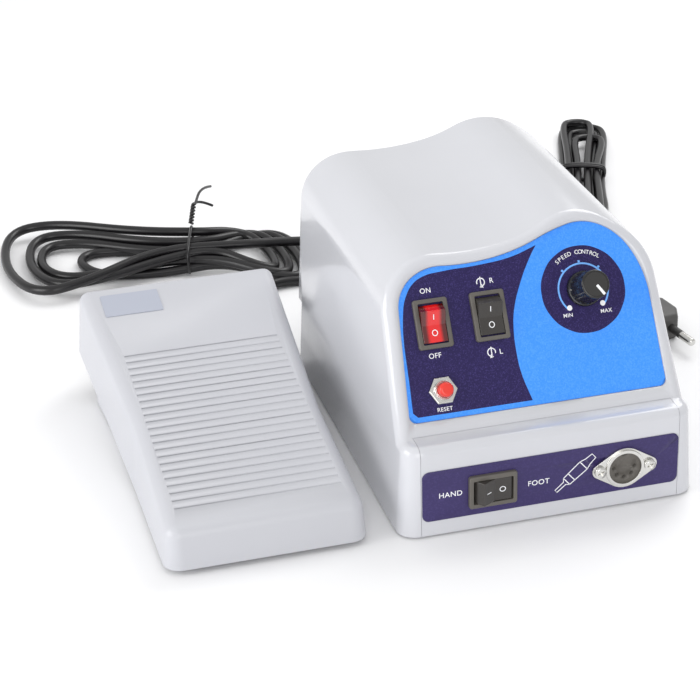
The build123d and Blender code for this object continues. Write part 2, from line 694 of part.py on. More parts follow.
with BuildPart() as transformer_strap:
    inner = core_size[0] / 2 + 0.05
    outer = inner + strap_thickness
    reach = strap_hole_x + 6
    top = core_size[2]
    with BuildSketch(Plane(origin=core_place.origin, x_dir=(1, 0, 0), z_dir=(0, -1, 0))) as bent:
        with BuildLine():
            Polyline((-reach, 0), (-reach, strap_thickness), (-outer, strap_thickness),
                     (-outer, top + strap_thickness), (outer, top + strap_thickness), (outer, strap_thickness),
                     (reach, strap_thickness), (reach, 0), (inner, 0), (inner, top), (-inner, top), (-inner, 0),
                     close=True)
        make_face()
    extrude(bent.sketch, amount=strap_width / 2, both=True)
    for x in (-strap_hole_x, strap_hole_x):
        rod(moved(core_place, x, 0), screw_radius, 5, Mode.SUBTRACT)

with BuildPart() as transformer_screws:
    for x in (-strap_hole_x, strap_hole_x):
        rod(moved(core_place, x, 0, strap_thickness), screw_head_radius, screw_head_height)
        rod(moved(core_place, x, 0, strap_thickness), screw_radius, -(strap_thickness + base_plate - 0.5))

board_place = on_unit(0, board_y, board_z)
board_top = board_place.offset(board_size[2])
with BuildPart() as circuit_board:
    block(board_place, *board_size)

with BuildPart() as heat_sink:
    block(moved(board_top, *sink_at), *sink_size)
    for index in range(sink_fins):
        across = (index - (sink_fins - 1) / 2) * sink_pitch
        block(moved(board_top, sink_at[0] + across, sink_at[1] + 1.5, 3), sink_pitch / 2, sink_size[1],
              sink_size[2], Mode.SUBTRACT)

with BuildPart() as capacitors:
    for x, y in capacitor_at:
        rod(moved(board_top, x, y), *capacitor_size)
    fillet(capacitors.faces().sort_by(Axis.Z)[-2:].edges(), 1.0)


# ================= foot pedal =================
def on_tread(x, along, out=0.0):
    """A plane on the treadle's sloping top: along counts up the slope from its front edge."""
    slope = radians(tread_slope)
    return Plane(
        origin=(
            pedal_x + x,
            front_y + pedal_setback + along * cos(slope) - out * sin(slope),
            tread_front_height + along * sin(slope) + out * cos(slope),
        ),
        x_dir=(1, 0, 0),
        z_dir=(0, -sin(slope), cos(slope)),
    )


def underside_at(y):
    """Height of the treadle's underside at a distance behind the unit's front face."""
    slope = radians(tread_slope)
    return tread_front_height + (y - pedal_setback) * tan(slope) - pedal_wall / cos(slope)


def pedal_plan(inset, reach):
    """The pedal seen from above, from its front edge as far back as reach: it widens behind the bend."""
    back_half = pedal_front_half + splay * (reach - pedal_bend)
    near, bend, back = pedal_setback, pedal_setback + pedal_bend, pedal_setback + reach
    with BuildSketch() as plan:
        with BuildLine():
            Polyline((pedal_front_half, near), (pedal_front_half, bend), (back_half, back), (-back_half, back),
                     (-pedal_front_half, bend), (-pedal_front_half, near), close=True)
        make_face()
        ends = plan.vertices().sort_by(Axis.Y)
        fillet(ends[:2] + ends[-2:], pedal_corner)
        bends = plan.vertices().filter_by(lambda v: abs(v.Y - bend) < 0.01)
        fillet(bends, pedal_bend_radius)
        if inset:
            offset(amount=-inset)
    return plan.sketch


def side_view(*points):
    """A closed outline in the pedal's own side view: distance behind the unit's front face, height."""
    with BuildSketch(Plane(origin=(pedal_x, front_y, 0), x_dir=(0, 1, 0), z_dir=(1, 0, 0))) as outline:
        with BuildLine():
            Polyline(*points, close=True)
        make_face()
    return outline.sketch


def treadle_body(inset):
    """The treadle as a solid under its sloping top, drawn in by inset."""
    with BuildPart() as body:
        extrude(on_pedal(0, 0, 0) * pedal_plan(inset, pedal_length), amount=60, taper=pedal_draft)
        split(bisect_by=on_tread(0, 0, -inset), keep=Keep.BOTTOM)
        lid = body.faces().sort_by(Axis.Z)[-1]
        fillet(lid.edges(), tread_edge - inset)
    return body.part


pedal_end = pedal_setback + pedal_length
bend_y = pedal_setback + pedal_bend
pivot_place = Plane(origin=(pedal_x, front_y + pivot_y, pivot_z), x_dir=(0, 1, 0), z_dir=(1, 0, 0))
pedal_gland_place = Plane(
    origin=(pedal_x + pedal_gland_x, front_y + pedal_setback + pedal_base_length, pedal_gland_z),
    x_dir=(-1, 0, 0),
    z_dir=(0, 1, 0),
)
with BuildPart() as treadle:
    add(treadle_body(0))
    add(treadle_body(pedal_wall), mode=Mode.SUBTRACT)
    # the skirt's lower edge rises behind the bend, so that the back can be pressed down
    skirt = side_view((-10, -10), (-10, skirt_front), (bend_y, skirt_front), (pedal_end, skirt_back),
                      (pedal_end + 10, skirt_back), (pedal_end + 10, -10))
    extrude(skirt, amount=pedal_back_half + 10, both=True, mode=Mode.SUBTRACT)
    # ears for the pivot pin, and a seat for the spring
    ear_foot = pivot_z - ear_size[1] / 2 + 1.5
    ear_top = underside_at(pivot_y + ear_size[1] / 2)
    for x in (-ear_x, ear_x):
        block(on_pedal(x, pivot_y, ear_foot), *ear_size, ear_top - ear_foot)
    rod(pivot_place.offset(-ear_x - 5), pivot_radius + running_gap, 2 * ear_x + 10, Mode.SUBTRACT)
    seat_along = (spring_y - pedal_setback) / cos(radians(tread_slope))
    rod(on_tread(0, seat_along, -pedal_wall / 2), spring_radius + 1.5, -(pedal_wall / 2 + seat_depth))
    rod(on_pedal(0, spring_y, spring_top - 10), spring_radius + 3, 10, Mode.SUBTRACT)
    # notch in the back wall over the cord, and the cross grooves in the tread
    block(on_pedal(pedal_gland_x, pedal_end, notch_size[1] / 2), notch_size[0], 10, notch_size[1],
          Mode.SUBTRACT)
    groove_pitch = (groove_last - groove_first) / (groove_count - 1)
    with BuildSketch(on_tread(0, (groove_first + groove_last) / 2)) as grooves:
        with GridLocations(0, groove_pitch, 1, groove_count):
            Rectangle(2 * groove_half, groove_width)
    extrude(grooves.sketch, amount=-groove_depth, mode=Mode.SUBTRACT)

base_inset = pedal_wall + pedal_base_gap
with BuildPart() as pedal_base:
    extrude(on_pedal(0, 0, pedal_lift) * pedal_plan(base_inset, pedal_base_length), amount=30,
            taper=pedal_draft)
    extrude(on_pedal(0, 0, pedal_lift + pedal_floor) * pedal_plan(base_inset + base_wall, pedal_base_length),
            amount=40, taper=pedal_draft, mode=Mode.SUBTRACT)
    above = side_view((-10, 60), (-10, base_heights[0]), (pedal_setback, base_heights[0]),
                      (pedal_setback + pedal_base_length, base_heights[1]), (pedal_end, base_heights[1]),
                      (pedal_end, 60))
    extrude(above, amount=pedal_back_half + 10, both=True, mode=Mode.SUBTRACT)
    floor_top = pedal_lift + pedal_floor
    for x in (-post_x, post_x):
        block(on_pedal(x, pivot_y, floor_top), *post_size, pivot_z + 5 - floor_top)
    rod(on_pedal(0, spring_y, floor_top), spring_radius - spring_wire - 0.6, 4)
    rod(pivot_place.offset(-post_x - 5), pivot_radius, 2 * post_x + 10, Mode.SUBTRACT)
    for x, y in pedal_feet_at:
        rod(on_pedal(x, y, 0), pedal_foot_radius, pedal_foot_height, Mode.SUBTRACT)
    rod(pedal_gland_place.offset(-8), pedal_gland_radius, 20, Mode.SUBTRACT)

with BuildPart() as pedal_feet:
    for x, y in pedal_feet_at:
        rod(on_pedal(x, y, 0), pedal_foot_radius, pedal_foot_height)

with BuildPart() as pivot_pin:
    rod(pivot_place.offset(-ear_x - ear_size[0] / 2 - 1), pivot_radius, 2 * ear_x + ear_size[0] + 2)

with BuildPart() as return_spring:
    rod(on_pedal(0, spring_y, floor_top), spring_radius, spring_top - floor_top)
    rod(on_pedal(0, spring_y, floor_top), spring_radius - spring_wire, spring_top - floor_top, Mode.SUBTRACT)

plunger_top = underside_at(sensor_y - plunger_radius) - plunger_gap
with BuildPart() as speed_sensor:
    block(on_pedal(0, sensor_y, floor_top), *sensor_size)
    rod(on_pedal(0, sensor_y, floor_top + 1), plunger_radius + running_gap, 40, Mode.SUBTRACT)

with BuildPart() as sensor_plunger:
    rod(on_pedal(0, sensor_y, plunger_foot), plunger_radius, plunger_top - plunger_foot)

with BuildPart() as pedal_plate:
    block(on_tread(*plate_at), *plate_size, plate_thickness, corner=0.8)

with BuildPart() as pedal_gland:
    rod(pedal_gland_place.offset(-4), pedal_gland_radius, 5.5)
    with BuildSketch(pedal_gland_place.offset(1.5)) as wide_end:
        Circle(pedal_gland_radius - 0.2)
    with BuildSketch(pedal_gland_place.offset(pedal_gland_length)) as narrow_end:
        Circle(pedal_cord_radius + 0.6)
    loft([wide_end.sketch.face(), narrow_end.sketch.face()])


# ================= cords =================
def cord_tube(name, points, radius):
    """A cord along straight runs joined by tangent arcs, each as large as its two runs allow."""
    corners = [Vector(unit_x + x, front_y + y, z) for x, y, z in points]
    runs = [after - before for before, after in zip(corners, corners[1:])]
    radii = []
    for before, after in zip(runs, runs[1:]):
        half_turn = radians(before.get_angle(after)) / 2
        radii.append(0.45 * min(before.length, after.length) / tan(half_turn))
    with BuildPart() as tube:
        with BuildLine() as route:
            FilletPolyline(*corners, radius=radii)
        with BuildSketch(Plane(origin=route.line @ 0, z_dir=route.line % 0)):
            Circle(radius)
        sweep(path=route.line)
    length = route.wires()[0].length
    filled = tube.part.volume / (pi * radius**2 * length)
    print(name, [round(r, 1) for r in radii], "length", round(length), "fill", round(filled, 3))
    save(tube.part, name)


for name, points, radius in (
    ("pedal_lead", pedal_lead_points, pedal_cord_radius), ("pedal_tail", pedal_tail_points, pedal_cord_radius),
    ("mains_lead", mains_lead_points, mains_cord_radius), ("mains_tail", mains_tail_points, mains_cord_radius),
):
    cord_tube(name, points, radius)

# the pedal cord's hank: two flat loops that meet at the tie
with BuildSketch() as two_loops:
    for centre, size in pedal_loops:
        with Locations(centre):
            Ellipse(*size)
    with Locations(pedal_waist[0]):
        RectangleRounded(*pedal_waist[1], 8)
with BuildPart() as pedal_hank:
    extrude(on_unit(0, 0, tie_thickness) * two_loops.sketch, amount=pedal_hank_height, dir=(0, 0, 1))

with BuildPart() as pedal_tie:
    band = (tie_width, pedal_waist[1][1] + 2 * tie_thickness)
    block(on_unit(*pedal_waist[0], 0), *band, pedal_hank_height + 2 * tie_thickness)
    add(pedal_hank.part, mode=Mode.SUBTRACT)

# the mains cord's hank: long folds beside each other
with BuildSketch(Plane(origin=on_unit(*mains_hank_at, tie_thickness).origin,
                       x_dir=(cos(radians(mains_hank_turn)), sin(radians(mains_hank_turn)), 0))) as folds:
    RectangleRounded(*mains_hank_size[:2], mains_hank_size[1] / 2 - 0.5)
with BuildPart() as mains_hank:
    extrude(folds.sketch, amount=mains_hank_size[2])

with BuildPart() as mains_tie:
    along = Plane(origin=on_unit(*mains_hank_at, 0).origin,
                  x_dir=(cos(radians(mains_hank_turn)), sin(radians(mains_hank_turn)), 0))
    block(moved(along, mains_tie_along, 0), tie_width, mains_hank_size[1] + 2 * tie_thickness,
          mains_hank_size[2] + 2 * tie_thickness)
    add(mains_hank.part, mode=Mode.SUBTRACT)

# mains plug lying flat, pins forwards
plug_aim = (cos(radians(plug_turn)), sin(radians(plug_turn)), 0)
plug_front = Plane(origin=on_unit(*plug_at, plug_thickness / 2).origin,
                   x_dir=(-plug_aim[1], plug_aim[0], 0), z_dir=plug_aim)
plug_flat = Plane(origin=on_unit(*plug_at, 0).origin, x_dir=plug_front.x_dir)
with BuildPart() as mains_plug_body:
    with BuildSketch(plug_flat) as outline:
        with BuildLine():
            Polyline((-plug_face, 0), (plug_face, 0), (plug_half, plug_shoulder[0]), (plug_half, plug_shoulder[1]),
                     (plug_neck, plug_length), (-plug_neck, plug_length), (-plug_half, plug_shoulder[1]),
                     (-plug_half, plug_shoulder[0]), close=True)
        make_face()
        fillet(outline.vertices(), 2.0)
    extrude(outline.sketch, amount=plug_thickness)
    top_and_bottom = mains_plug_body.faces().sort_by(Axis.Z)
    fillet(top_and_bottom[0].edges() + top_and_bottom[-1].edges(), plug_edge)
    with BuildSketch(plug_front.offset(1 - plug_length)) as wide_end:
        Circle(plug_sleeve_radii[0])
    with BuildSketch(plug_front.offset(-plug_length - plug_sleeve_length)) as narrow_end:
        Circle(plug_sleeve_radii[1])
    loft([wide_end.sketch.face(), narrow_end.sketch.face()])

with BuildPart() as mains_plug_pins:
    for side in (-0.5, 0.5):
        rod(moved(plug_front, side * pin_pitch, 0), pin_radius, pin_length)
    fillet(mains_plug_pins.edges().group_by(Axis(plug_front.origin, plug_front.z_dir))[-1], pin_radius - 0.6)

with BuildPart() as pedal_plug:
    grip_place = jack_place.offset(jack_nut_height + 0.2)
    rod(grip_place, jack_grip_radius, jack_grip_length)
    rod(grip_place, jack_pin_radius, -jack_pin_length)
    with BuildSketch(grip_place.offset(jack_grip_length)) as wide_end:
        Circle(jack_grip_radius - 1.4)
    with BuildSketch(grip_place.offset(jack_grip_length + jack_sleeve_length)) as narrow_end:
        Circle(pedal_cord_radius + 0.5)
    loft([wide_end.sketch.face(), narrow_end.sketch.face()])

for part, name in (
    (upper_casing, "upper_casing"), (base_tray, "base_tray"), (rubber_feet, "rubber_feet"),
    (casing_screws, "casing_screws"), (panel_label, "panel_label"), (front_label, "front_label"),
    (switch_terminals, "switch_terminals"), (speed_potentiometer, "speed_potentiometer"),
    (potentiometer_nut, "potentiometer_nut"), (potentiometer_shaft, "potentiometer_shaft"),
    (speed_knob, "speed_knob"), (knob_pointer, "knob_pointer"), (reset_breaker, "reset_breaker"),
    (reset_nut, "reset_nut"), (reset_button, "reset_button"), (din_flange, "din_flange"),
    (din_insert, "din_insert"), (din_contacts, "din_contacts"), (din_screws, "din_screws"),
    (din_nuts, "din_nuts"), (rear_panel, "rear_panel"), (rear_screws, "rear_screws"),
    (fuse_holder, "fuse_holder"), (fuse_cap, "fuse_cap"), (pedal_socket, "pedal_socket"),
    (mains_gland, "mains_gland"), (transformer_core, "transformer_core"),
    (transformer_winding, "transformer_winding"), (transformer_strap, "transformer_strap"),
    (transformer_screws, "transformer_screws"), (circuit_board, "circuit_board"), (heat_sink, "heat_sink"),
    (capacitors, "capacitors"), (treadle, "treadle"), (pedal_base, "pedal_base"),
    (pedal_feet, "pedal_feet"), (pivot_pin, "pivot_pin"), (return_spring, "return_spring"),
    (speed_sensor, "speed_sensor"), (sensor_plunger, "sensor_plunger"), (pedal_plate, "pedal_plate"),
    (pedal_gland, "pedal_gland"), (pedal_hank, "pedal_hank"), (pedal_tie, "pedal_tie"),
    (mains_hank, "mains_hank"), (mains_tie, "mains_tie"), (mains_plug_body, "mains_plug_body"),
    (mains_plug_pins, "mains_plug_pins"), (pedal_plug, "pedal_plug"),
):
    save(part.part, name)
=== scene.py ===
from math import cos, pi, radians, sin, tau

import bmesh
import bpy
from mathutils import Matrix, Vector
from mathutils.bvhtree import BVHTree


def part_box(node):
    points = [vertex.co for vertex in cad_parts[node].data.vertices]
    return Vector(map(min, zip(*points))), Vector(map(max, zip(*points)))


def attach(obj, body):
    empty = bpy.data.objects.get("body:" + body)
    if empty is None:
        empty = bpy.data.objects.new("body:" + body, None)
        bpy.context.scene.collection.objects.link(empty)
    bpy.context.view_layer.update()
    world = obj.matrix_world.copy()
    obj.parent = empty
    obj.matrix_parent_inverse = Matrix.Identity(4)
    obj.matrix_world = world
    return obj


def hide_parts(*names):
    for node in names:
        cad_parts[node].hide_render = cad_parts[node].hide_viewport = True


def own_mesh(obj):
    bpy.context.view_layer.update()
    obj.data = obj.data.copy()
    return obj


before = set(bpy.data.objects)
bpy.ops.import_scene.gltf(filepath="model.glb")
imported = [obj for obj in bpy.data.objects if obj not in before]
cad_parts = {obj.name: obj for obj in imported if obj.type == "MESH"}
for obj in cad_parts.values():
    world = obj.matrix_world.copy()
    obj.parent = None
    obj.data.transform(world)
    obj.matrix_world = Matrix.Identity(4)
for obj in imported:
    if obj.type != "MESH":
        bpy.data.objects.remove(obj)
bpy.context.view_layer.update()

# Nail drill: control unit, foot pedal, tied pedal cord and tied mains lead. Lengths in the tables are in
# millimetres and in the unit's own directions: x from its middle, y from its front face, height.
mm = 0.001
scene = bpy.context.scene
scene.view_settings.view_transform = "Standard"

casingLow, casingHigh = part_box("upper_casing")
unitX = (casingLow[0] + casingHigh[0]) / 2
frontY = casingLow[1]
rearPlate = 175.0
# x and distance up the sloping panel, or x and height on the lower front
fittings = {"power": (-40.6, 39.9), "direction": (-15.7, 39.9), "dial": (27.28, 45.36), "knob": (27.3, 45.4),
            "reset": (-40.9, 11.8), "mode": (-26.3, 19.2), "socket": (32.2, 19.3)}


def unitPoint(x, y, z):
    return Vector((unitX + x * mm, frontY + y * mm, z * mm))


# ---- camera ----
view = {"azimuth": -14.781, "elevation": 26.567, "roll": -1.597, "place": (-276.75, -724.23, 467.19),
        "lens": 109.35, "sensor": 36.0}


def addCamera():
    side, lift, roll = (radians(view[key]) for key in ("azimuth", "elevation", "roll"))
    back = Vector((sin(side) * cos(lift), -cos(side) * cos(lift), sin(lift)))
    level = Vector((0, 0, 1)).cross(back).normalized()
    upright = back.cross(level)
    right = cos(roll) * level + sin(roll) * upright
    camera = bpy.data.objects.new("camera", bpy.data.cameras.new("camera"))
    turn = Matrix((right, back.cross(right), back)).transposed().to_4x4()
    camera.matrix_world = Matrix.Translation(unitPoint(*view["place"])) @ turn
    camera.data.lens = view["lens"]
    camera.data.sensor_width = view["sensor"]
    scene.collection.objects.link(camera)
    scene.camera = camera


addCamera()
print("stage: camera")


# ---- materials ----
def srgb(code):
    parts = [int(code[i:i + 2], 16) / 255 for i in (1, 3, 5)]
    return tuple(p / 12.92 if p <= 0.04045 else ((p + 0.055) / 1.055) ** 2.4 for p in parts) + (1.0,)


def addNode(tree, kind, inputs=None, **settings):
    node = tree.nodes.new(kind)
    for key, value in settings.items():
        setattr(node, key, value)
    for key, value in (inputs or {}).items():
        if isinstance(value, bpy.types.NodeSocket):
            tree.links.new(value, node.inputs[key])
        else:
            node.inputs[key].default_value = value
    return node


def newMaterial(name):
    made = bpy.data.materials.new(name)
    made.use_nodes = True
    tree = made.node_tree
    tree.nodes.clear()
    shader = addNode(tree, "ShaderNodeBsdfPrincipled")
    addNode(tree, "ShaderNodeOutputMaterial", {"Surface": shader.outputs["BSDF"]})
    where = addNode(tree, "ShaderNodeTexCoord").outputs["Object"]
    return made, tree, shader, where


def mouldedPlastic(name, look):
    # colour drifts a little over the moulding, gloss is uneven, and the tool's texture shows as fine bump
    made, tree, shader, where = newMaterial(name)
    cloud = addNode(tree, "ShaderNodeTexNoise", {"Vector": where, "Scale": 28.0, "Detail": 2.0})
    grain = addNode(tree, "ShaderNodeTexNoise",
                    {"Vector": where, "Scale": 1 / (look["grain"] * mm), "Detail": 3.0})
    tint = addNode(tree, "ShaderNodeMix", {"Factor": cloud.outputs["Fac"]}, data_type="RGBA")
    tint.inputs[6].default_value = srgb(look["colour"])
    tint.inputs[7].default_value = srgb(look.get("drift", look["colour"]))
    gloss = addNode(tree, "ShaderNodeMapRange", {"Value": grain.outputs["Fac"],
                                                 "To Min": look["roughness"] - 0.04,
                                                 "To Max": look["roughness"] + 0.06})
    bump = addNode(tree, "ShaderNodeBump", {"Height": grain.outputs["Fac"], "Strength": look["bump"],
                                            "Distance": 0.05 * mm})
    tree.links.new(tint.outputs[2], shader.inputs["Base Color"])
    tree.links.new(gloss.outputs["Result"], shader.inputs["Roughness"])
    tree.links.new(bump.outputs["Normal"], shader.inputs["Normal"])
    shader.inputs["IOR"].default_value = look.get("ior", 1.5)
    shader.inputs["Coat Weight"].default_value = look.get("coat", 0.0)
    shader.inputs["Coat Roughness"].default_value = 0.08
    return made


def platedMetal(name, look):
    # metal with its plating's soft sheen, brushed or tumbled: fine streaks in gloss and a faint bump
    made, tree, shader, where = newMaterial(name)
    stretch = addNode(tree, "ShaderNodeMapping",
                      {"Vector": where, "Scale": look.get("stretch", (1.0, 1.0, 1.0))})
    streak = addNode(tree, "ShaderNodeTexNoise", {"Vector": stretch.outputs["Vector"],
                                                  "Scale": 1 / (look["grain"] * mm), "Detail": 3.0})
    gloss = addNode(tree, "ShaderNodeMapRange", {"Value": streak.outputs["Fac"],
                                                 "To Min": look["roughness"] - 0.05,
                                                 "To Max": look["roughness"] + 0.12})
    bump = addNode(tree, "ShaderNodeBump",
                   {"Height": streak.outputs["Fac"], "Strength": 0.12, "Distance": 0.03 * mm})
    shader.inputs["Base Color"].default_value = srgb(look["colour"])
    shader.inputs["Metallic"].default_value = 1.0
    tree.links.new(gloss.outputs["Result"], shader.inputs["Roughness"])
    tree.links.new(bump.outputs["Normal"], shader.inputs["Normal"])
    return made


def printedFilm(name, look):
    # screen-printed polycarbonate film: ink with light specks under a fine velvet texture
    made, tree, shader, where = newMaterial(name)
    specks = addNode(tree, "ShaderNodeTexVoronoi", {"Vector": where, "Scale": 1 / (look["speck"] * mm)})
    share = addNode(tree, "ShaderNodeMapRange", {"Value": specks.outputs["Color"], "From Min": look["sparse"],
                                                 "From Max": 1.0, "To Max": look["speckShare"]})
    grain = addNode(tree, "ShaderNodeTexNoise", {"Vector": where, "Scale": 1 / (0.45 * mm), "Detail": 4.0})
    ink = addNode(tree, "ShaderNodeMix", {"Factor": share.outputs["Result"]}, data_type="RGBA")
    ink.inputs[6].default_value = srgb(look["colour"])
    ink.inputs[7].default_value = srgb(look["speckColour"])
    bump = addNode(tree, "ShaderNodeBump", {"Height": grain.outputs["Fac"], "Strength": look["bump"],
                                            "Distance": 0.06 * mm})
    tree.links.new(ink.outputs[2], shader.inputs["Base Color"])
    tree.links.new(bump.outputs["Normal"], shader.inputs["Normal"])
    shader.inputs["Roughness"].default_value = look["roughness"]
    shader.inputs["IOR"].default_value = 1.36
    return made


def glowPaintedRocker(name, look):
    # clear red polycarbonate over a lamp, with the lamp's glow painted into the colour: bright in the middle
    # of its width, deep red at the margins
    made, tree, shader, where = newMaterial(name)
    shift = addNode(tree, "ShaderNodeSeparateXYZ", {"Vector": where})
    across = addNode(tree, "ShaderNodeMath", {0: shift.outputs["X"], 1: look["middle"]}, operation="SUBTRACT")
    away = addNode(tree, "ShaderNodeMath", {0: across.outputs[0]}, operation="ABSOLUTE")
    ramp = addNode(tree, "ShaderNodeMapRange",
                   {"Value": away.outputs[0], "From Min": 1.9 * mm, "From Max": 3.9 * mm},
                   interpolation_type="SMOOTHSTEP")
    ink = addNode(tree, "ShaderNodeMix", {"Factor": ramp.outputs["Result"]}, data_type="RGBA")
    ink.inputs[6].default_value = srgb(look["bright"])
    ink.inputs[7].default_value = srgb(look["deep"])
    tree.links.new(ink.outputs[2], shader.inputs["Base Color"])
    shader.inputs["Roughness"].default_value = 0.12
    shader.inputs["IOR"].default_value = 1.58
    shader.inputs["Coat Weight"].default_value = 0.5
    return made


plastics = {
    # injection-moulded ABS, polished tool
    "glossAbsGrey": {"colour": "#CDCED3", "drift": "#C9CACF", "roughness": 0.2, "grain": 1.6,
                     "bump": 0.05, "coat": 0.35},
    # injection-moulded ABS, fine spark-eroded tool
    "satinAbsPale": {"colour": "#C1C2C7", "drift": "#BDBEC4", "roughness": 0.36, "grain": 0.9, "bump": 0.1},
    # ABS sheet of the rear plate
    "undersideAbs": {"colour": "#C6C7CC", "roughness": 0.5, "grain": 1.0, "bump": 0.15},
    # moulded nylon of the switch bezels
    "nylonWarmGrey": {"colour": "#57534E", "drift": "#625E58", "roughness": 0.42, "grain": 0.5, "bump": 0.2},
    # moulded nylon of the rocker keys
    "nylonBlack": {"colour": "#33302E", "drift": "#3C3936", "roughness": 0.24, "grain": 0.6, "bump": 0.1},
    # turned and polished black ABS
    "absJetBlack": {"colour": "#141414", "drift": "#1B1A1A", "roughness": 0.26, "grain": 0.8,
                    "bump": 0.04, "coat": 0.2},
    # textured black ABS
    "absSatinBlack": {"colour": "#2B2A29", "roughness": 0.45, "grain": 0.5, "bump": 0.2},
    # pigmented nylon
    "nylonOrangeRed": {"colour": "#E8392A", "drift": "#DD3022", "roughness": 0.2, "grain": 0.6,
                       "bump": 0.05, "coat": 0.4},
    # extruded PVC cord sheath
    "pvcSheathBlack": {"colour": "#0C0B0D", "drift": "#151316", "roughness": 0.3, "grain": 1.2, "bump": 0.16},
    # overmoulded soft PVC
    "pvcPlugGrey": {"colour": "#4A4948", "drift": "#545250", "roughness": 0.5, "grain": 0.7, "bump": 0.25},
    # moulded rubber feet and grommets
    "rubberBlack": {"colour": "#1D1D1D", "roughness": 0.7, "grain": 0.6, "bump": 0.3},
    # screen-printed white ink
    "inkWhite": {"colour": "#F4F5F8", "roughness": 0.45, "grain": 0.3, "bump": 0.02},
    # screen-printed pale blue ink
    "inkPaleBlue": {"colour": "#74B4FF", "roughness": 0.45, "grain": 0.3, "bump": 0.02},
    # printed polyester film
    "filmBlueGrey": {"colour": "#B0B4C1", "drift": "#AAAFBC", "roughness": 0.3, "grain": 0.6, "bump": 0.05},
    # glass-epoxy board with solder mask
    "boardGreen": {"colour": "#1F5B38", "drift": "#1A4F31", "roughness": 0.4, "grain": 0.8, "bump": 0.2},
    # polyester tape round the windings
    "windingTape": {"colour": "#C98A2E", "drift": "#B87A24", "roughness": 0.35, "grain": 0.9, "bump": 0.3},
    # natural acetal
    "acetalIvory": {"colour": "#E4E1D6", "roughness": 0.4, "grain": 0.8, "bump": 0.1},
}
metals = {
    # bright nickel plate
    "nickelBright": {"colour": "#D9D8D4", "roughness": 0.14, "grain": 0.5},
    # zinc-plated steel
    "zincSteel": {"colour": "#B9BABB", "roughness": 0.34, "grain": 0.4, "stretch": (1.0, 1.0, 6.0)},
    # mill-finish aluminium
    "aluminiumMill": {"colour": "#C9CBCD", "roughness": 0.38, "grain": 0.4, "stretch": (6.0, 1.0, 1.0)},
    # tinned brass strip
    "tinnedBrass": {"colour": "#D8C48A", "roughness": 0.28, "grain": 0.4},
    # laminated silicon steel
    "siliconSteel": {"colour": "#6E7075", "roughness": 0.45, "grain": 0.35, "stretch": (1.0, 8.0, 1.0)},
}
films = {
    # blue ink behind textured polycarbonate
    "filmBlue": {"colour": "#3E93FF", "speckColour": "#5AA6FF", "speck": 0.55, "sparse": 0.35,
                 "speckShare": 0.8, "bump": 0.35, "roughness": 0.42},
    # violet ink behind textured polycarbonate
    "filmViolet": {"colour": "#20154C", "speckColour": "#4E4389", "speck": 0.42, "sparse": 0.55,
                   "speckShare": 0.5, "bump": 0.3, "roughness": 0.5},
    # indigo ink behind smooth polycarbonate
    "filmIndigo": {"colour": "#39305F", "speckColour": "#4A4178", "speck": 0.6, "sparse": 0.5,
                   "speckShare": 0.5, "bump": 0.2, "roughness": 0.28},
}
finishes = {name: mouldedPlastic(name, look) for name, look in plastics.items()}
finishes.update({name: platedMetal(name, look) for name, look in metals.items()})
finishes.update({name: printedFilm(name, look) for name, look in films.items()})
# clear red polycarbonate of the lit rocker, with its lamp's glow painted into the colour
glowPaintedLook = {"bright": "#E01518", "deep": "#55070A", "middle": unitX + fittings["power"][0] * mm}
finishes["redPolycarbonateGlowPainted"] = glowPaintedRocker("redPolycarbonateGlowPainted", glowPaintedLook)
print("stage: materials")


# ---- making pieces ----
def frameOn(origin, xDir, zDir):
    x, z = Vector(xDir).normalized(), Vector(zDir).normalized()
    place = Matrix((x, z.cross(x), z)).transposed().to_4x4()
    place.translation = origin
    return place


panel = {"tilt": radians(31.1), "foot": 11.0, "plinth": 42.0, "margin": 6.0, "sunk": 1.2}


def panelFrame(x, up, out=0.0):
    lean, along, rise = panel["tilt"], up + panel["margin"], out - panel["sunk"]
    origin = unitPoint(x, panel["foot"] + along * sin(lean) - rise * cos(lean),
                       panel["plinth"] + along * cos(lean) + rise * sin(lean))
    return frameOn(origin, (1, 0, 0), (0, -cos(lean), sin(lean)))


def frontFrame(x, z, out=0.0):
    return frameOn(unitPoint(x, -out, z), (1, 0, 0), (0, -1, 0))


def backFrame(x, z, out=0.0):
    return frameOn(unitPoint(x, rearPlate + out, z), (-1, 0, 0), (0, 1, 0))


def settle(piece, body, finish, replaced=()):
    if piece.name not in scene.collection.objects:
        scene.collection.objects.link(piece)
    piece.data.materials.clear()
    piece.data.materials.append(finishes[finish])
    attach(piece, body)
    if replaced:
        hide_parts(*replaced)
    return piece


def softEdges(piece, width, angle=40):
    bevel = piece.modifiers.new("softEdges", "BEVEL")
    bevel.width = width * mm
    bevel.segments = 3
    bevel.limit_method = "ANGLE"
    bevel.angle_limit = radians(angle)
    bevel.harden_normals = True


def refined(node, name, body, finish, edge=0.0):
    # the node's own shape, with its points merged and its round faces shaded smooth
    work = bmesh.new()
    work.from_mesh(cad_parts[node].data)
    bmesh.ops.remove_doubles(work, verts=work.verts, dist=1e-6)
    if edge:
        bmesh.ops.dissolve_limit(work, angle_limit=radians(1.0), verts=work.verts, edges=work.edges)
    mesh = bpy.data.meshes.new(name)
    work.to_mesh(mesh)
    work.free()
    mesh.shade_smooth()
    mesh.set_sharp_from_angle(angle=radians(30))
    piece = settle(bpy.data.objects.new(name, mesh), body, finish, (node,))
    if edge:
        softEdges(piece, edge)
    return piece


def meshFrom(name, corners, faces, place=None):
    mesh = bpy.data.meshes.new(name)
    mesh.from_pydata([Vector(c) * mm for c in corners], [], faces)
    work = bmesh.new()
    work.from_mesh(mesh)
    bmesh.ops.remove_doubles(work, verts=work.verts, dist=1e-7)
    bmesh.ops.recalc_face_normals(work, faces=work.faces)
    work.to_mesh(mesh)
    work.free()
    if place is not None:
        mesh.transform(place)
    mesh.shade_smooth()
    mesh.set_sharp_from_angle(angle=radians(35))
    return bpy.data.objects.new(name, mesh)


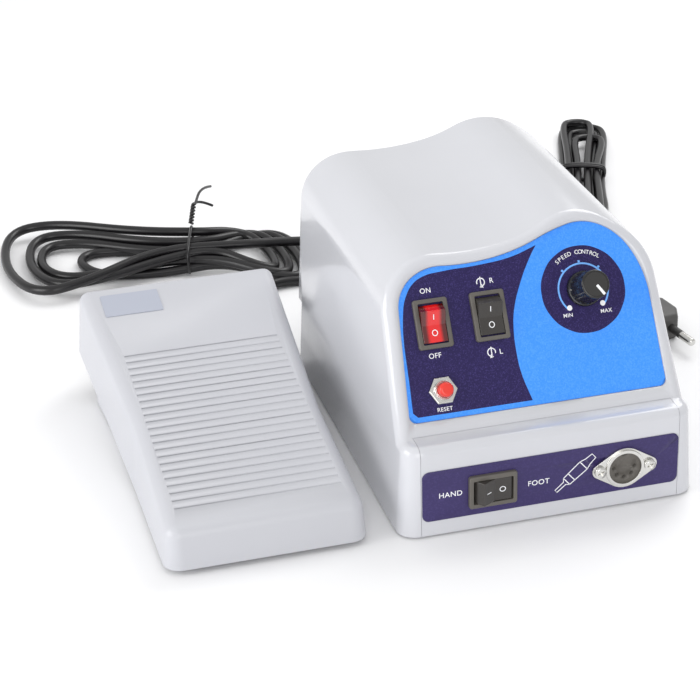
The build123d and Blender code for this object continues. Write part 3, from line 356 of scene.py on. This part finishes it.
def turnedPiece(name, profile, place, steps=64, ripple=None):
    # a closed outline of (radius, height) spun about the place's own z, with an optional ripple round it
    corners, faces = [], []
    for radius, height in profile:
        for step in range(steps):
            angle = tau * step / steps
            reach = radius * (1 - (ripple(angle, height) if ripple else 0))
            corners.append((reach * cos(angle), reach * sin(angle), height))
    for ring in range(len(profile) - 1):
        for step in range(steps):
            a, b = ring * steps + step, ring * steps + (step + 1) % steps
            faces.append((a, b, b + steps, a + steps))
    return meshFrom(name, corners, faces, place)


def flatStrip(name, points, width, place, closed=False, height=0.06):
    # a thin printed line that follows flat points
    line = [Vector(p) for p in points]
    corners, count = [], len(line)
    for index, point in enumerate(line):
        before = line[index - 1] if index or closed else point
        after = line[(index + 1) % count] if index < count - 1 or closed else point
        along = (after - before).normalized()
        across = Vector((-along.y, along.x)) * width / 2
        for side in (across, -across):
            corners += [(point.x + side.x, point.y + side.y, 0), (point.x + side.x, point.y + side.y, height)]
    faces = []
    for index in range(count if closed else count - 1):
        a, b = index * 4, (index + 1) % count * 4
        faces += [(a + 1, a + 3, b + 3, b + 1), (a, b, b + 2, a + 2), (a, a + 1, b + 1, b),
                  (a + 2, b + 2, b + 3, a + 3)]
    if not closed:
        last = (count - 1) * 4
        faces += [(0, 2, 3, 1), (last, last + 1, last + 3, last + 2)]
    return meshFrom(name, corners, faces, place)


def filled(name, outline, place, height):
    # a printed field: smooth where a point says so, cornered elsewhere
    curve = bpy.data.curves.new(name, "CURVE")
    curve.dimensions = "2D"
    curve.fill_mode = "BOTH"
    curve.extrude = height * mm / 2
    curve.resolution_u = 16
    spline = curve.splines.new("BEZIER")
    spline.bezier_points.add(len(outline) - 1)
    spline.use_cyclic_u = True
    for point, (x, y, smooth) in zip(spline.bezier_points, outline):
        point.co = (x * mm, y * mm, 0)
        point.handle_left_type = point.handle_right_type = "AUTO" if smooth else "VECTOR"
    return flattened(curve, place @ Matrix.Translation((0, 0, height * mm / 2)))


def flattened(curve, place):
    holder = bpy.data.objects.new(curve.name, curve)
    scene.collection.objects.link(holder)
    mesh = bpy.data.meshes.new_from_object(holder.evaluated_get(bpy.context.evaluated_depsgraph_get()))
    mesh.transform(place)
    name = curve.name
    bpy.data.objects.remove(holder)
    bpy.data.curves.remove(curve)
    mesh.name = name
    return bpy.data.objects.new(name, mesh)


def lettering(name, words, size, place, body="base", finish="inkWhite"):
    curve = bpy.data.curves.new(name, "FONT")
    curve.body = words
    curve.size = size * mm
    curve.align_x, curve.align_y = "CENTER", "CENTER"
    curve.extrude = 0.03 * mm
    curve.offset = 0.012 * size * mm * 0.5
    curve.space_character = 1.08
    return settle(flattened(curve, place @ Matrix.Translation((0, 0, 0.04 * mm))), body, finish)


def arcPoints(radius, start, end, steps=48):
    return [(radius * cos(radians(start + (end - start) * i / steps)),
             radius * sin(radians(start + (end - start) * i / steps))) for i in range(steps + 1)]


# ---- rings in a row: thread crests and sleeve ribs ----
def ringTree():
    tree = bpy.data.node_groups.new("ringRow", "GeometryNodeTree")
    face = tree.interface
    face.new_socket("Geometry", in_out="OUTPUT", socket_type="NodeSocketGeometry")
    for label, kind in (("Count", "NodeSocketInt"), ("Pitch", "NodeSocketFloat"),
                        ("Radius", "NodeSocketFloat"), ("End Radius", "NodeSocketFloat"),
                        ("Wire", "NodeSocketFloat"),
                        ("Finish", "NodeSocketMaterial")):
        face.new_socket(label, in_out="INPUT", socket_type=kind)
    given = addNode(tree, "NodeGroupInput").outputs
    step = addNode(tree, "ShaderNodeCombineXYZ", {"Z": given["Pitch"]})
    row = addNode(tree, "GeometryNodeMeshLine", {"Count": given["Count"], "Offset": step.outputs[0]})
    last = addNode(tree, "ShaderNodeMath", {0: given["Count"], 1: 1.0}, operation="SUBTRACT")
    share = addNode(tree, "ShaderNodeMath", {0: addNode(tree, "GeometryNodeInputIndex").outputs[0],
                                             1: last.outputs[0]}, operation="DIVIDE")
    slim = addNode(tree, "ShaderNodeMath", {0: given["End Radius"], 1: given["Radius"]}, operation="DIVIDE")
    scale = addNode(tree, "ShaderNodeMapRange",
                    {"Value": share.outputs[0], "To Min": 1.0, "To Max": slim.outputs[0]})
    circle = addNode(tree, "GeometryNodeCurvePrimitiveCircle", {"Resolution": 40, "Radius": given["Radius"]})
    wire = addNode(tree, "GeometryNodeCurvePrimitiveCircle", {"Resolution": 10, "Radius": given["Wire"]})
    ring = addNode(tree, "GeometryNodeCurveToMesh",
                   {"Curve": circle.outputs[0], "Profile Curve": wire.outputs[0]})
    spread = addNode(tree, "ShaderNodeCombineXYZ", {"X": scale.outputs[0], "Y": scale.outputs[0], "Z": 1.0})
    placed = addNode(tree, "GeometryNodeInstanceOnPoints",
                     {"Points": row.outputs[0], "Instance": ring.outputs[0], "Scale": spread.outputs[0]})
    real = addNode(tree, "GeometryNodeRealizeInstances", {"Geometry": placed.outputs[0]})
    coat = addNode(tree, "GeometryNodeSetMaterial",
                   {"Geometry": real.outputs[0], "Material": given["Finish"]})
    addNode(tree, "NodeGroupOutput", {"Geometry": coat.outputs[0]})
    return tree


rings = ringTree()


def ringRow(name, sizes, place, body, finish):
    holder = bpy.data.objects.new(name, bpy.data.meshes.new(name))
    scene.collection.objects.link(holder)
    row = holder.modifiers.new("ringRow", "NODES")
    row.node_group = rings
    values = {"Count": sizes["count"], "Pitch": sizes["pitch"] * mm, "Radius": sizes["radius"] * mm,
              "End Radius": sizes.get("endRadius", sizes["radius"]) * mm, "Wire": sizes["wire"] * mm,
              "Finish": finishes[finish]}
    for item in rings.interface.items_tree:
        if item.in_out == "INPUT":
            row[item.identifier] = values[item.name]
    mesh = bpy.data.meshes.new_from_object(holder.evaluated_get(bpy.context.evaluated_depsgraph_get()))
    bpy.data.objects.remove(holder)
    mesh.transform(place)
    mesh.shade_smooth()
    piece = bpy.data.objects.new(name, mesh)
    return settle(piece, body, finish)


# ---- cords ----
def cordCurve(name, points, diameter, finish, replaced):
    curve = bpy.data.curves.new(name, "CURVE")
    curve.dimensions = "3D"
    spline = curve.splines.new("NURBS")
    spline.points.add(len(points) - 1)
    for point, place in zip(spline.points, points):
        point.co = (*unitPoint(*place), 1.0)
    spline.order_u = 3
    spline.use_endpoint_u = True
    curve.resolution_u = 8
    curve.bevel_depth = diameter * mm / 2
    curve.bevel_resolution = 5
    curve.use_fill_caps = True
    return settle(bpy.data.objects.new(name, curve), "base", finish, replaced)


def splineLength(piece):
    plain = piece.data.copy()
    plain.bevel_depth = 0.0
    holder = bpy.data.objects.new("measure", plain)
    scene.collection.objects.link(holder)
    mesh = bpy.data.meshes.new_from_object(holder.evaluated_get(bpy.context.evaluated_depsgraph_get()))
    ends = [[mesh.vertices[corner].co for corner in edge.vertices] for edge in mesh.edges]
    length = sum((first - last).length for first, last in ends)
    bpy.data.objects.remove(holder)
    return length


pedalCord = {
    "diameter": 5.0,
    "lead": [(-102.0, 184.0, 8.0), (-102.0, 198.0, 8.0), (-99.0, 214.0, 4.6), (-90.0, 232.0, 2.6),
             (-74.0, 250.0, 2.6), (-56.0, 262.0, 3.4)],
    "return": [(-66.0, 292.0, 13.5), (-42.0, 293.0, 11.5), (-17.0, 288.0, 10.5), (-4.0, 277.0, 9.5)],
    "tail": [(-8.0, 262.0, 8.0), (-20.0, 250.0, 12.0), (-27.0, 236.0, 19.0), (-30.0, 222.0, 26.0),
             (-30.0, 209.7, 26.0)],
    "waist": (-92.0, 304.0), "lean": -0.267, "steps": 14,
    # each turn: how far it reaches left and right of the tie, and its half widths behind and in front
    "turns": [
        {"left": 58, "right": 61, "leftWidth": (15, 17), "rightWidth": (38, 36),
         "waist": (11, 13), "lift": 2.6},
        {"left": 79, "right": 57, "leftWidth": (27, 24), "rightWidth": (34, 32),
         "waist": (3, 6), "lift": 6.6},
        {"left": 85, "right": 50, "leftWidth": (37, 38), "rightWidth": (30, 29),
         "waist": (7, 10), "lift": 10.4},
        {"left": 98, "right": 43, "leftWidth": (48, 50), "rightWidth": (26, 24),
         "waist": (15, 2), "lift": 13.6},
    ],
}


def pedalTurns():
    middleX, middleY = pedalCord["waist"]
    route = []
    for number, turn in enumerate(pedalCord["turns"]):
        for step in range(0 if number else 2, pedalCord["steps"]):
            angle = radians(-75) + tau * step / pedalCord["steps"]
            along, aside = cos(angle), sin(angle)
            onRight = along > 0
            x = middleX + along * (turn["right"] if onRight else turn["left"])
            width = turn["rightWidth" if onRight else "leftWidth"][0 if aside > 0 else 1]
            waist = turn["waist"][0 if aside > 0 else 1]
            swell = (width - 0.58 * waist) / 0.385
            y = middleY + (x - middleX) * pedalCord["lean"] + aside * (waist + swell * along**2)
            # the turns pile up under the tie and settle on the table away from it
            z = 2.7 + (turn["lift"] - 2.7) * (1 - abs(along)) ** 0.6
            route.append((x, y, z))
    return route


mainsCord = {
    "diameter": 4.2,
    "lead": [(30.0, 199.0, 26.0), (30.0, 213.0, 26.0), (34.0, 228.0, 19.0), (43.0, 243.0, 8.0),
             (58.0, 255.0, 2.8), (78.0, 258.0, 2.2), (97.0, 252.0, 3.4), (112.0, 256.0, 5.0)],
    "tail": [(106.5, 248.0, 4.0), (101.0, 234.0, 3.0), (95.0, 219.0, 3.4), (93.77, 203.04, 6.85),
             (96.14, 189.26, 6.85)],
    "middle": (142.0, 332.0), "heading": 69.1, "tieAlong": 18.0, "bend": 9.0,
    # each fold: its near and far end along the hank, its two sides and its height
    "folds": [
        {"ends": (-96, 100), "sides": (13.2, -13.8), "lift": 2.2},
        {"ends": (-88, 90), "sides": (6.5, -7.1), "lift": 2.4},
        {"ends": (-92, 97), "sides": (9.8, -3.7), "lift": 6.2},
        {"ends": (-97, 72), "sides": (3.1, -10.5), "lift": 6.0},
    ],
}


def hankPoint(along, aside, height):
    heading = radians(mainsCord["heading"])
    middle = mainsCord["middle"]
    return (middle[0] + along * cos(heading) - aside * sin(heading),
            middle[1] + along * sin(heading) + aside * cos(heading), height)


def power(value, exponent):
    return (1 if value > 0 else -1) * abs(value) ** exponent


def roundEnd(along, aside, radius, turns):
    # control points stand a little outside the bend that they make
    reach = 1.08 * radius
    return [(along + reach * cos(radians(turn)), aside + reach * sin(radians(turn))) for turn in turns]


def mainsFolds():
    # a fold goes out along its right side, round the far end, back along its left and round the near end
    route = []
    last = mainsCord["folds"][-1]
    for fold in mainsCord["folds"]:
        near, far = fold["ends"]
        left, right = fold["sides"]
        middle, bend = (left + right) / 2, max((left - right) / 2, mainsCord["bend"])
        sideLength = far - near - 2 * bend
        stations = [(near + bend + share * sideLength, right) for share in (0.25, 0.5, 0.75)]
        stations += roundEnd(far - bend, middle, bend, (-67.5, -22.5, 22.5, 67.5))
        stations += [(far - bend - share * sideLength, left) for share in (0.25, 0.5, 0.75)]
        if fold is not last:
            stations += roundEnd(near + bend, middle, bend, (112.5, 157.5, 202.5, 247.5))
        for along, aside in stations:
            gather = 1 - 0.35 * max(0.0, 1 - abs(along - mainsCord["tieAlong"]) / 45)
            route.append(hankPoint(along, aside * gather, fold["lift"]))
    return route


pedalLine = cordCurve("pedalCord", pedalCord["lead"] + pedalTurns() + pedalCord["return"] + pedalCord["tail"],
                      pedalCord["diameter"], "pvcSheathBlack", ("pedal_lead", "pedal_hank", "pedal_tail"))
mainsLine = cordCurve("mainsCord", mainsCord["lead"] + mainsFolds() + mainsCord["tail"],
                      mainsCord["diameter"], "pvcSheathBlack", ("mains_lead", "mains_hank", "mains_tail"))
print("cord lengths", round(splineLength(pedalLine), 3), round(splineLength(mainsLine), 3))


def wireTie(name, loop, ends, wire, finish, replaced):
    # a wrapped band with its two ends twisted together
    curve = bpy.data.curves.new(name, "CURVE")
    curve.dimensions = "3D"
    curve.bevel_depth = wire * mm
    curve.bevel_resolution = 3
    curve.resolution_u = 6
    curve.use_fill_caps = True
    lines = [(loop, True)] + [(end, False) for end in ends]
    for points, cyclic in lines:
        spline = curve.splines.new("NURBS")
        spline.points.add(len(points) - 1)
        for point, place in zip(spline.points, points):
            point.co = (*unitPoint(*place), 1.0)
        spline.order_u = 3
        spline.use_cyclic_u = cyclic
        spline.use_endpoint_u = not cyclic
    return settle(bpy.data.objects.new(name, curve), "base", finish, replaced)


def twist(start, end, turns, swing, phase):
    # one wire of a twisted pair between two points
    first, last = Vector(start), Vector(end)
    along = (last - first).normalized()
    side = along.cross(Vector((0, 0, 1))).normalized()
    other = along.cross(side)
    steps = turns * 8
    return [tuple(first.lerp(last, i / steps) + swing * (cos(phase + tau * turns * i / steps) * side
                                                         + sin(phase + tau * turns * i / steps) * other))
            for i in range(steps + 1)]


def bundleLoop(place, half, top, steps=16):
    # a wrap with rounded corners round a bundle that lies on the table
    turns = [tau * i / steps for i in range(steps)]
    return [place(half * power(cos(turn), 0.6), top / 2 * (1 + power(sin(turn), 0.6)) + 0.9)
            for turn in turns]


def acrossPedalHank(aside, height):
    return (-92.0 + 0.258 * aside, 304.0 + 0.966 * aside, height)


pedalKnot, pedalTips = (-88.5, 317.0, 18.5), (-84.0, 330.0, 24.0)
pedalTie = wireTie("pedalCordTie", bundleLoop(acrossPedalHank, 19.5, 16.6),
                   [twist(pedalKnot, pedalTips, 3, 0.8, 0.0) + [(-77.0, 345.0, 27.0), (-69.0, 357.0, 22.0)],
                    twist(pedalKnot, pedalTips, 3, 0.8, pi) + [(-79.0, 336.0, 23.0), (-72.0, 339.0, 18.0)]],
                   0.75, "pvcSheathBlack", ("pedal_tie",))


def acrossMainsHank(along):
    return lambda aside, height: hankPoint(along, aside - 0.3, height)


mainsTie = wireTie("mainsCordTie", bundleLoop(acrossMainsHank(16.5), 12.6, 8.6),
                   [bundleLoop(acrossMainsHank(18.5), 12.8, 8.8)[1:10],
                    bundleLoop(acrossMainsHank(20.5), 12.4, 8.4)[0:12]],
                   1.0, "pvcSheathBlack", ("mains_tie",))
print("stage: cords")


# ---- parts that keep the CAD shape, with round faces shaded smooth ----
mouldings = {
    "upper_casing": ("base", "glossAbsGrey", 0.0), "base_tray": ("base", "glossAbsGrey", 0.0),
    "rear_panel": ("base", "undersideAbs", 0.0), "rubber_feet": ("base", "rubberBlack", 0.0),
    "panel_label": ("base", "filmBlue", 0.0), "front_label": ("base", "filmIndigo", 0.0),
    "power_switch_housing": ("base", "nylonWarmGrey", 0.3),
    "direction_switch_housing": ("base", "nylonWarmGrey", 0.3),
    "mode_switch_housing": ("base", "nylonWarmGrey", 0.3),
    "knob_pointer": ("speed_knob", "inkWhite", 0.0), "reset_nut": ("base", "nickelBright", 0.15),
    "reset_breaker": ("base", "nickelBright", 0.0), "reset_button": ("reset_button", "nylonOrangeRed", 0.5),
    "din_flange": ("base", "nickelBright", 0.15), "din_insert": ("base", "nylonWarmGrey", 0.0),
    "fuse_holder": ("base", "absSatinBlack", 0.2), "fuse_cap": ("base", "absSatinBlack", 0.3),
    "pedal_socket": ("base", "nickelBright", 0.2), "pedal_plug": ("base", "absSatinBlack", 0.3),
    "mains_gland": ("base", "absSatinBlack", 0.2), "pedal_gland": ("base", "rubberBlack", 0.2),
    "mains_plug_body": ("base", "pvcPlugGrey", 0.6), "mains_plug_pins": ("base", "nickelBright", 0.2),
    "pedal_base": ("base", "satinAbsPale", 0.0), "pedal_feet": ("base", "rubberBlack", 0.0),
    "treadle": ("treadle", "satinAbsPale", 0.0), "pedal_plate": ("treadle", "filmBlueGrey", 0.1),
}
hidden = {
    "capacitors": "absSatinBlack", "casing_screws": "zincSteel", "circuit_board": "boardGreen",
    "din_contacts": "tinnedBrass", "din_nuts": "zincSteel", "heat_sink": "aluminiumMill",
    "pivot_pin": "zincSteel",
    "potentiometer_nut": "nickelBright", "potentiometer_shaft": "aluminiumMill",
    "sensor_plunger": "acetalIvory", "speed_potentiometer": "aluminiumMill", "speed_sensor": "absSatinBlack",
    "switch_terminals": "tinnedBrass", "transformer_core": "siliconSteel", "transformer_screws": "zincSteel",
    "transformer_strap": "zincSteel", "transformer_winding": "windingTape",
}
shown = {node: refined(node, node.replace("_", "-") + "-moulded", *settings)
         for node, settings in mouldings.items()}
for node, finish in hidden.items():
    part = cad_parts[node]
    part.data.materials.clear()
    part.data.materials.append(finishes[finish])
print("stage: mouldings")


# ---- screws with a cross recess ----
def crossScrews(node, centres, width, depth):
    piece = refined(node, node.replace("_", "-") + "-crossed", "base", "nickelBright")
    corners, faces = [], []
    box = [(0, 1, 3, 2), (4, 6, 7, 5), (0, 4, 5, 1), (2, 3, 7, 6), (0, 2, 6, 4), (1, 5, 7, 3)]
    for place in centres:
        for turn in (0.4, 0.4 + pi / 2):
            spin = place @ Matrix.Rotation(turn, 4, "Z")
            first = len(corners)
            corners += [spin @ Vector((x * width * mm, y * 0.32 * mm, z * mm))
                        for x in (-1, 1) for y in (-1, 1) for z in (-depth, 2.0)]
            faces += [tuple(first + i for i in face) for face in box]
    mesh = bpy.data.meshes.new("crossCutter")
    mesh.from_pydata(corners, [], faces)
    cutter = bpy.data.objects.new("crossCutter", mesh)
    scene.collection.objects.link(cutter)
    cut = piece.modifiers.new("crossCut", "BOOLEAN")
    cut.object = cutter
    cut.solver = "EXACT"
    cut.use_self = True
    solid = bpy.data.meshes.new_from_object(piece.evaluated_get(bpy.context.evaluated_depsgraph_get()))
    piece.modifiers.clear()
    piece.data = solid
    bpy.data.objects.remove(cutter)
    return piece


socketX, socketZ = fittings["socket"]
crossScrews("din_screws", [frontFrame(socketX + side * 11.1, socketZ, 3.0) for side in (-1, 1)], 1.5, 1.1)
crossScrews("rear_screws", [backFrame(-x, z, 4.1) for x in (-53, 53) for z in (10, 74)], 1.8, 1.2)


# ---- speed knob ----
knob = {"place": fittings["knob"], "flutes": 12, "depth": 0.05}


def knobRipple(angle, height):
    return knob["depth"] * max(0.0, cos(knob["flutes"] * angle)) ** 0.7 if 3.4 < height < 15.9 else 0.0


knobOutline = [(0.0, 0.6), (7.2, 0.6), (7.6, 0.9), (7.6, 2.2), (7.35, 2.65), (6.95, 2.8), (6.75, 3.1),
               (6.7, 3.5), (6.62, 6.0), (6.5, 9.0), (6.38, 12.0), (6.3, 14.6), (6.22, 15.6),
               (6.08, 16.1), (5.75, 16.42),
               (5.3, 16.5), (0.0, 16.5)]
settle(turnedPiece("fluted-knob", knobOutline, panelFrame(*knob["place"]), 192, knobRipple), "speed_knob",
       "absJetBlack", ("speed_knob",))
settle(turnedPiece("knob-cap", [(0.0, 16.3), (4.9, 16.3), (5.05, 16.44), (5.0, 16.56), (0.0, 16.56)],
                   panelFrame(*knob["place"]), 64), "speed_knob", "absSatinBlack")


# ---- return spring under the treadle ----
springLow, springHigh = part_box("return_spring")
spring = {"radius": 5.7, "wire": 0.65, "coils": 8, "perTurn": 20, "keep": 0.72}


def addSpring():
    curve = bpy.data.curves.new("return-coil", "CURVE")
    curve.dimensions = "3D"
    curve.bevel_depth = spring["wire"] * mm
    curve.bevel_resolution = 3
    curve.resolution_u = 2
    middle = [(springLow[i] + springHigh[i]) / 2 for i in (0, 1)]
    bottom, top = springLow[2] + 0.8 * mm, springHigh[2] - 2.4 * mm
    steps = spring["coils"] * spring["perTurn"]
    line = curve.splines.new("POLY")
    line.points.add(steps)
    for step, point in enumerate(line.points):
        angle = tau * step / spring["perTurn"]
        point.co = (middle[0] + spring["radius"] * mm * cos(angle),
                    middle[1] + spring["radius"] * mm * sin(angle),
                    bottom + (top - bottom) * step / steps, 1.0)
    coil = settle(flattened(curve, Matrix.Identity(4)), "base", "zincSteel", ("return_spring",))
    coil.data.shade_smooth()
    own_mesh(coil)


addSpring()

# threads and ribs
ringRow("reset-thread", {"count": 4, "pitch": 0.45, "radius": 3.95, "wire": 0.22},
        panelFrame(*fittings["reset"], 2.0), "base", "nickelBright")
ringRow("mains-gland-ribs", {"count": 6, "pitch": 2.4, "radius": 3.6, "endRadius": 2.9, "wire": 0.6},
        backFrame(-30, 26, 9.5), "base", "absSatinBlack")
print("stage: screws and knob")


# ---- plug pins' insulating sleeves ----
plug = {"face": (105.0, 138.0), "aim": -80.2, "height": 6.85, "pitch": 19.0}


def plugFrame(aside, ahead):
    aim = radians(plug["aim"])
    x, y = plug["face"]
    return frameOn(unitPoint(x + ahead * cos(aim) - aside * sin(aim), y + ahead * sin(aim) + aside * cos(aim),
                             plug["height"]), (0, 0, 1), (cos(aim), sin(aim), 0))


sleeveOutline = [(1.9, -0.5), (2.06, -0.5), (2.06, 9.2), (1.98, 9.5), (1.9, 9.5)]
for side, label in ((-0.5, "left"), (0.5, "right")):
    sleeve = turnedPiece(label + "-pin-sleeve", sleeveOutline, plugFrame(side * plug["pitch"], 0), 40)
    shown[label + "-sleeve"] = settle(sleeve, "base", "absSatinBlack")


# ---- printing on the panel ----
inkLift = 0.03
leftField = [(-53.0, 2.2, False), (-2.9, 2.2, False), (-5.9, 14.5, True), (-6.5, 24.0, True),
             (-6.1, 32.4, True), (-4.5, 40.7, True), (0.1, 51.6, True), (6.4, 62.3, True),
             (9.6, 66.6, False), (-1.9, 63.2, True),
             (-17.0, 61.6, True), (-32.8, 61.1, True), (-41.5, 60.0, True), (-46.3, 57.4, True),
             (-49.6, 53.2, True), (-52.0, 47.0, True), (-54.6, 12.0, True), (-54.9, 4.2, False)]
settle(filled("violet-field", leftField, panelFrame(0, 0, inkLift), 0.05), "base", "filmViolet")
disc = [(18.65 * cos(tau * i / 12), 18.65 * sin(tau * i / 12), True) for i in range(12)]
settle(filled("violet-disc", disc, panelFrame(*fittings["dial"], inkLift), 0.05), "base", "filmViolet")

inkTop = 0.09
dialFace = panelFrame(*fittings["dial"], inkTop)
settle(flatStrip("dial-scale", arcPoints(11.0, 222, -42, 96), 0.75, dialFace), "base", "inkPaleBlue")
for number, angle in enumerate((46, 90, 132)):
    ends = [(r * cos(radians(angle)), r * sin(radians(angle))) for r in (11.2, 12.4)]
    settle(flatStrip("dial-tick-" + str(number), ends, 0.9, dialFace), "base", "inkPaleBlue")
dotReach, dotRadius = 10.3, 1.15
for name, angle in (("min", 224), ("max", -43)):
    middleX, middleY = dotReach * cos(radians(angle)), dotReach * sin(radians(angle))
    dot = [(middleX + dotRadius * cos(tau * i / 8), middleY + dotRadius * sin(tau * i / 8), True)
           for i in range(8)]
    dotPlace = panelFrame(*fittings["dial"], inkTop + 0.03)
    settle(filled("dial-dot-" + name, dot, dotPlace, 0.05), "base", "inkWhite")


def arcLettering(name, words, size, radius, start, end):
    for index, letter in enumerate(words):
        angle = radians(start + (end - start) * index / (len(words) - 1))
        if letter != " ":
            spot = Matrix.Translation((radius * mm * cos(angle), radius * mm * sin(angle), 0))
            upright = Matrix.Rotation(angle - pi / 2, 4, "Z")
            lettering(name + "-" + str(index), letter, size, dialFace @ spot @ upright)


arcLettering("speed-legend", "SPEED CONTROL", 2.5, 15.9, 127, 56)
legends = {
    "min": ("MIN", 2.3, 18.7, 35.1), "max": ("MAX", 2.3, 35.8, 34.9), "on": ("ON", 3.0, -41.3, 53.9),
    "off": ("OFF", 3.0, -41.6, 26.5), "r": ("R", 3.0, -12.3, 54.4), "l": ("L", 3.0, -13.1, 24.3),
    "reset": ("RESET", 2.4, -41.1, 4.0),
}
for name, (words, size, x, up) in legends.items():
    lettering("legend-" + name, words, size, panelFrame(x, up, inkTop))


def turnArrow(name, x, up, start, end):
    # a bent arrow that shows which way the motor turns
    place = panelFrame(x, up, inkTop)
    settle(flatStrip(name + "-arc", arcPoints(1.7, start, end, 24), 0.42, place), "base", "inkWhite")
    tip, way = radians(end), 1 if end > start else -1
    out, on = Vector((cos(tip), sin(tip))), Vector((-sin(tip), cos(tip))) * way
    head = [out * 1.7 + on * 1.3, out * 2.6 - on * 0.1, out * 0.8 - on * 0.1]
    settle(filled(name + "-head", [(p.x, p.y, False) for p in head], panelFrame(x, up, inkTop), 0.06), "base",
           "inkWhite")
    settle(flatStrip(name + "-bar", [(0, -2.3), (0, 2.3)], 0.42, place), "base", "inkWhite")


turnArrow("turn-right", -17.0, 54.3, 200, -70)
turnArrow("turn-left", -17.2, 24.6, -20, 250)

# ---- printing on the lower label ----
lettering("legend-hand", "HAND", 3.4, frontFrame(-44.5, 19.5, 0.42))
lettering("legend-foot", "FOOT", 3.4, frontFrame(-5.9, 18.4, 0.42))
handpiece = [(0, 0.7), (5, 0.8), (6.2, 2.2), (16, 2.6), (18.5, 1.7), (22, 1.3), (22, -1.3), (18.5, -1.7),
             (16, -2.6), (6.2, -2.2), (5, -0.8), (0, -0.7)]
iconPlace = frontFrame(1.9, 12.6, 0.42) @ Matrix.Rotation(radians(40.8), 4, "Z")
settle(flatStrip("handpiece-outline", handpiece, 0.4, iconPlace, True), "base", "inkWhite")
for number, (along, half) in enumerate(((6.2, 2.2), (9.0, 2.3), (16.0, 2.6))):
    band = flatStrip("handpiece-band-" + str(number), [(along, -half), (along, half)], 0.4, iconPlace)
    settle(band, "base", "inkWhite")


# ---- marks on the rockers ----
def surfaceAt(piece, place, shift):
    start = place @ Vector((shift[0] * mm, shift[1] * mm, 20 * mm))
    work = bmesh.new()
    work.from_mesh(piece.data)
    spot, normal, _, _ = BVHTree.FromBMesh(work).ray_cast(start, -place.to_3x3().col[2])
    work.free()
    return frameOn(spot + normal * 0.04 * mm, place.to_3x3().col[0], normal)


# up from the rocker's middle and out from the panel, with the raised end at the top
rockerSide = [(7.9, -2.0), (7.9, 1.3), (4.9, 5.35), (-0.8, 2.0), (-8.0, 2.1), (-8.0, -2.0)]
rockerHalfWidth = 5.3


def addRocker(node, place, finish):
    count = len(rockerSide)
    corners = [(x, up, out) for x in (-rockerHalfWidth, rockerHalfWidth) for up, out in rockerSide]
    faces = [tuple(range(count)), tuple(range(2 * count - 1, count - 1, -1))]
    faces += [(i, (i + 1) % count, count + (i + 1) % count, count + i) for i in range(count)]
    key = settle(meshFrom(node.replace("_", "-") + "-key", corners, faces, place), node, finish, (node,))
    for name, way in (("on", 1), ("off", -1)):
        spot = surfaceAt(key, place, (0, 2.5 if way > 0 else -4.0))
        if name == "on":
            mark = flatStrip(node + "-mark-on", [(0, -1.2), (0, 1.2)], 0.36, spot)
        else:
            mark = flatStrip(node + "-mark-off", [(1.1 * cos(tau * i / 32), 1.2 * sin(tau * i / 32))
                                                  for i in range(32)], 0.34, spot, True)
        settle(mark, node, "inkWhite")
    softEdges(key, 0.3, 15)


addRocker("power_rocker", panelFrame(*fittings["power"]), "redPolycarbonateGlowPainted")
addRocker("direction_rocker", panelFrame(*fittings["direction"]), "nylonBlack")
addRocker("mode_rocker", frontFrame(*fittings["mode"]) @ Matrix.Rotation(pi / 2, 4, "Z"), "nylonBlack")
print("stage: printing")

# ---- cord lengths, worked out again and not kept ----
round(splineLength(pedalLine), 2)
round(splineLength(mainsLine), 2)

# ---- table, lights and surround ----
# matt white studio paper
table, _, tableShader, _ = newMaterial("studioPaper")
tableShader.inputs["Base Color"].default_value = srgb("#F6F6F7")
tableShader.inputs["Roughness"].default_value = 0.6
floorMesh = bpy.data.meshes.new("floor")
floorMesh.from_pydata([(-4, -4, 0), (4, -4, 0), (4, 4, 0), (-4, 4, 0)], [], [(0, 1, 2, 3)])
floorMesh.materials.append(table)
floor = bpy.data.objects.new("floor", floorMesh)
scene.collection.objects.link(floor)

surround = bpy.data.worlds.new("surround")
surround.use_nodes = True
surround.node_tree.nodes["Background"].inputs["Color"].default_value = srgb("#FFFFFF")
surround.node_tree.nodes["Background"].inputs["Strength"].default_value = 0.7
scene.world = surround

lamps = {
    "key": {"place": (620, 700, 900), "size": 0.7, "power": 5.5},
    "overhead": {"place": (-150, 250, 1300), "size": 1.2, "power": 1.5},
    "front": {"place": (-300, -1200, 500), "size": 0.9, "power": 5.5},
    "side": {"place": (-1300, 0, 420), "size": 0.8, "power": 8.5},
}
aim = unitPoint(0, 120, 30)
for name, lamp in lamps.items():
    light = bpy.data.lights.new(name, "AREA")
    light.size = lamp["size"]
    light.energy = lamp["power"]
    holder = bpy.data.objects.new(name, light)
    holder.location = unitPoint(*lamp["place"])
    holder.rotation_euler = (aim - holder.location).to_track_quat("-Z", "Y").to_euler()
    scene.collection.objects.link(holder)
print("stage: lights")
